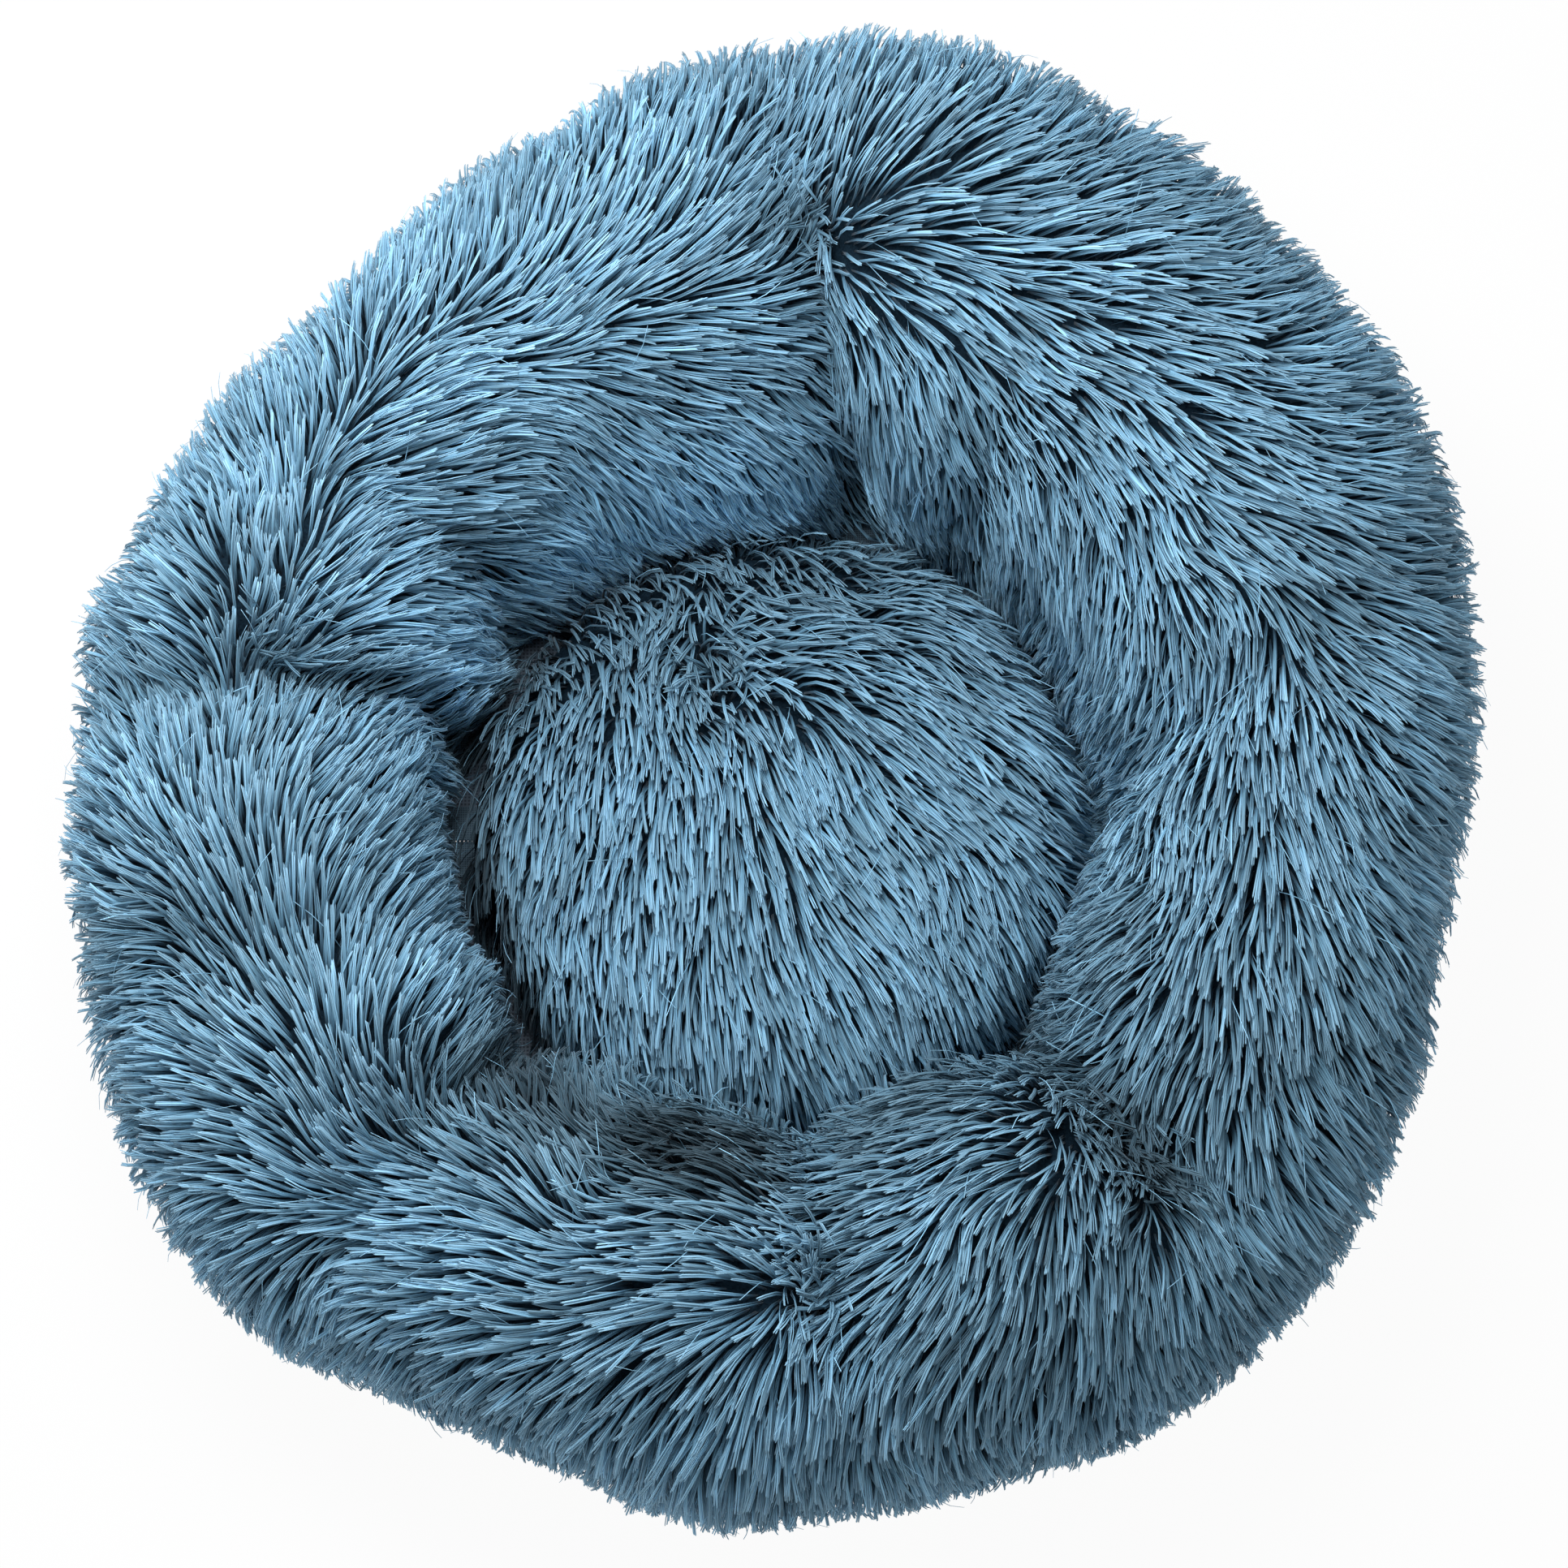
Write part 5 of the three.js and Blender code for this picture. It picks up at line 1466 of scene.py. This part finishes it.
def pile_material():
    nodes = Nodes("shag_pile", roughness=0.6, specular=0.16)
    nodes.shader.inputs["Sheen Weight"].default_value = 0.1
    nodes.shader.inputs["Sheen Roughness"].default_value = 0.4
    nodes.shader.inputs["Sheen Tint"].default_value = (0.75, 0.88, 1, 1)
    # The ramp darkens each strand towards its root: partly painted shade of the pile's depths.
    stops = ((0, PILE_ROOT), (0.32, PILE_DEEP), (0.62, PILE_MIDDLE), (0.95, PILE_TIP))
    color = nodes.ramp(nodes.attribute("along"), stops)
    # The tone holds random differences between locks, with the marks' painted shade and painted light.
    tone = nodes.span(nodes.attribute("tone"), 0.15, 1.85)
    # Large soft patches, lighter and darker at random, partly standing for painted sheen across the pile.
    patch = nodes.span(nodes.noise(14, 2), 0.9, 1.1, 0.3, 0.7)
    fibre = nodes.noise(1, 2, 0.6, (620, 70, 1), uv=True)
    streak = nodes.span(fibre, 0.78, 1.22, 0.3, 0.7)
    shade = nodes.span(nodes.attribute("shade"), 0.86, 1.14)
    slow, quick = nodes.math("MULTIPLY", tone, patch), nodes.math("MULTIPLY", streak, shade)
    nodes.bump(fibre, 0.35, 0.0004)
    return nodes.color(nodes.brighten(color, nodes.math("MULTIPLY", slow, quick)))


def woven_material(name, dark, light, pitch, roughness):
    """Plain weave: two sets of threads across each other, with slubs and a little colour drift."""
    nodes = Nodes(name, roughness=roughness, specular=0.25)
    threads = []
    for direction in ("X", "Y"):
        wave = nodes.add("ShaderNodeTexWave", wave_type="BANDS", bands_direction=direction)
        wave.inputs["Scale"].default_value = 0.314 / (pitch * MM) / 2
        wave.inputs["Distortion"].default_value = 0.4
        wave.inputs["Detail"].default_value = 1
        nodes.link(nodes.add("ShaderNodeTexCoord").outputs["Object"], wave.inputs["Vector"])
        threads.append(wave.outputs["Fac"])
    weave = nodes.math("MAXIMUM", *threads)
    drift = nodes.span(nodes.noise(30, 3), -0.15, 0.15, 0.3, 0.7)
    color = nodes.ramp(nodes.math("ADD", weave, drift), ((0.2, dark), (0.95, light)))
    nodes.bump(weave, 0.4, pitch * MM * 0.3)
    return nodes.color(color)


def grained_material(name, grain, dark, light, bump, roughness, specular=0.3, stops=(0.3, 0.7)):
    """A plain material whose colour and surface follow one fine noise."""
    nodes = Nodes(name, roughness, specular)
    noise = nodes.noise(*grain)
    nodes.bump(noise, *bump)
    return nodes.color(nodes.ramp(noise, list(zip(stops, (dark, light)))))


def metal_material():
    nodes = Nodes("plated_zinc", roughness=0.3, metallic=1.0)
    wear = nodes.noise(420, 4, 0.6, (1, 6, 1))
    nodes.link(nodes.span(wear, 0.22, 0.42), nodes.shader.inputs["Roughness"])
    nodes.bump(wear, 0.08, 0.0001)
    return nodes.color(nodes.ramp(wear, ((0.3, (0.5, 0.51, 0.53)), (0.7, (0.68, 0.69, 0.71)))))


# Floor, world and lamps
FLOOR_SIZE = 60
FLOOR_COLOR = (0.86, 0.87, 0.88, 1)
BACKDROP_SHARE = 0.95
WORLD_STRENGTH = 0.4


def add_floor():
    half = FLOOR_SIZE / 2 / MM
    corners = [(-half, -half, 0), (half, -half, 0), (half, half, 0), (-half, half, 0)]
    nodes = Nodes("pale_floor", roughness=0.9, specular=0.1)
    nodes.shader.inputs["Base Color"].default_value = FLOOR_COLOR
    glow = nodes.add("ShaderNodeEmission")
    mix = nodes.add("ShaderNodeMixShader")
    share = nodes.add("ShaderNodeMath", operation="MULTIPLY")
    share.inputs[1].default_value = BACKDROP_SHARE
    nodes.link(nodes.add("ShaderNodeLightPath").outputs["Is Camera Ray"], share.inputs[0])
    nodes.link(share.outputs["Value"], mix.inputs["Fac"])
    nodes.link(nodes.shader.outputs["BSDF"], mix.inputs[1])
    nodes.link(glow.outputs["Emission"], mix.inputs[2])
    nodes.link(mix.outputs["Shader"], nodes.tree.nodes["Material Output"].inputs["Surface"])
    mesh_object("floor", corners, [[0, 1, 2, 3]], material=nodes.material, smooth=False)


def add_world():
    world = bpy.data.worlds.new("studio")
    bpy.context.scene.world = world
    world.use_nodes = True
    tree = world.node_tree
    background = tree.nodes["Background"]
    background.inputs["Color"].default_value = (1, 1, 1, 1)
    path = tree.nodes.new("ShaderNodeLightPath")
    seen = tree.nodes.new("ShaderNodeMath")
    seen.operation = "MAXIMUM"
    tree.links.new(path.outputs["Is Camera Ray"], seen.inputs[0])
    tree.links.new(path.outputs["Is Glossy Ray"], seen.inputs[1])
    strength = tree.nodes.new("ShaderNodeMapRange")
    strength.inputs["To Min"].default_value = WORLD_STRENGTH
    strength.inputs["To Max"].default_value = 1
    tree.links.new(seen.outputs["Value"], strength.inputs["Value"])
    tree.links.new(strength.outputs["Result"], background.inputs["Strength"])


def add_lamp(name, place, size, power):
    data = bpy.data.lights.new(name, "AREA")
    data.shape = "DISK"
    data.size = size
    data.energy = power
    lamp = bpy.data.objects.new(name, data)
    bpy.context.scene.collection.objects.link(lamp)
    lamp.location = place
    lamp.rotation_euler = (-Vector(place)).to_track_quat("-Z", "Y").to_euler()


tape_cloth = woven_material("woven_tape", (0.03, 0.055, 0.08), (0.1, 0.17, 0.23), 0.5, 0.75)
base_cloth = woven_material("base_weave", (0.03, 0.045, 0.065), (0.1, 0.14, 0.19), 0.8, 0.6)
backing = grained_material(
    "knit_backing", (900, 2), (0.004, 0.01, 0.018), (0.01, 0.025, 0.04), (0.5, 0.0006), 0.9, 0.05)
lining = grained_material(
    "lining_cloth", (260, 4, 0.65), (0.62, 0.62, 0.6), (0.84, 0.84, 0.82), (0.35, 0.0004), 0.85, 0.2)
filling = grained_material(
    "fibre_filling", (55, 5, 0.7), (0.66, 0.66, 0.64), (0.88, 0.88, 0.86), (0.8, 0.004), 0.95, 0.1,
    (0.25, 0.75))
nylon = grained_material(
    "coil_nylon", (1500, 2), (0.05, 0.095, 0.14), (0.08, 0.14, 0.2), (0.15, 0.0001), 0.38, 0.45)
rubber = grained_material(
    "grip_dots", (700, 2), (0.16, 0.19, 0.22), (0.22, 0.25, 0.28), (0.2, 0.0002), 0.6)
thread = grained_material(
    "sewing_thread", (1, 2, 0.5, (900, 900, 300)), (0.14, 0.24, 0.33), (0.26, 0.38, 0.48), (0.3, 0.0002), 0.5)

add_covers(backing)
add_pile(pile_material())
add_ring_bag(lining, filling)
add_cushion_bag(lining, filling)
base_panel("base_cloth_near", -1, base_cloth, "base_panel_near")
base_panel("base_cloth_far", 1, base_cloth, "base_panel_far")
add_binding(tape_cloth)
add_stitching(thread)
add_grip_dots(rubber)
add_seam_tapes(tape_cloth)
add_zip(tape_cloth, nylon, metal_material())
add_floor()
add_world()
add_lamp("key_lamp", (-0.12, 0.14, 0.78), 0.4, 5.4)
add_lamp("fill_lamp", (-0.9, 1.0, 1.3), 0.8, 11)
bpy.context.scene.view_settings.view_transform = "Standard"
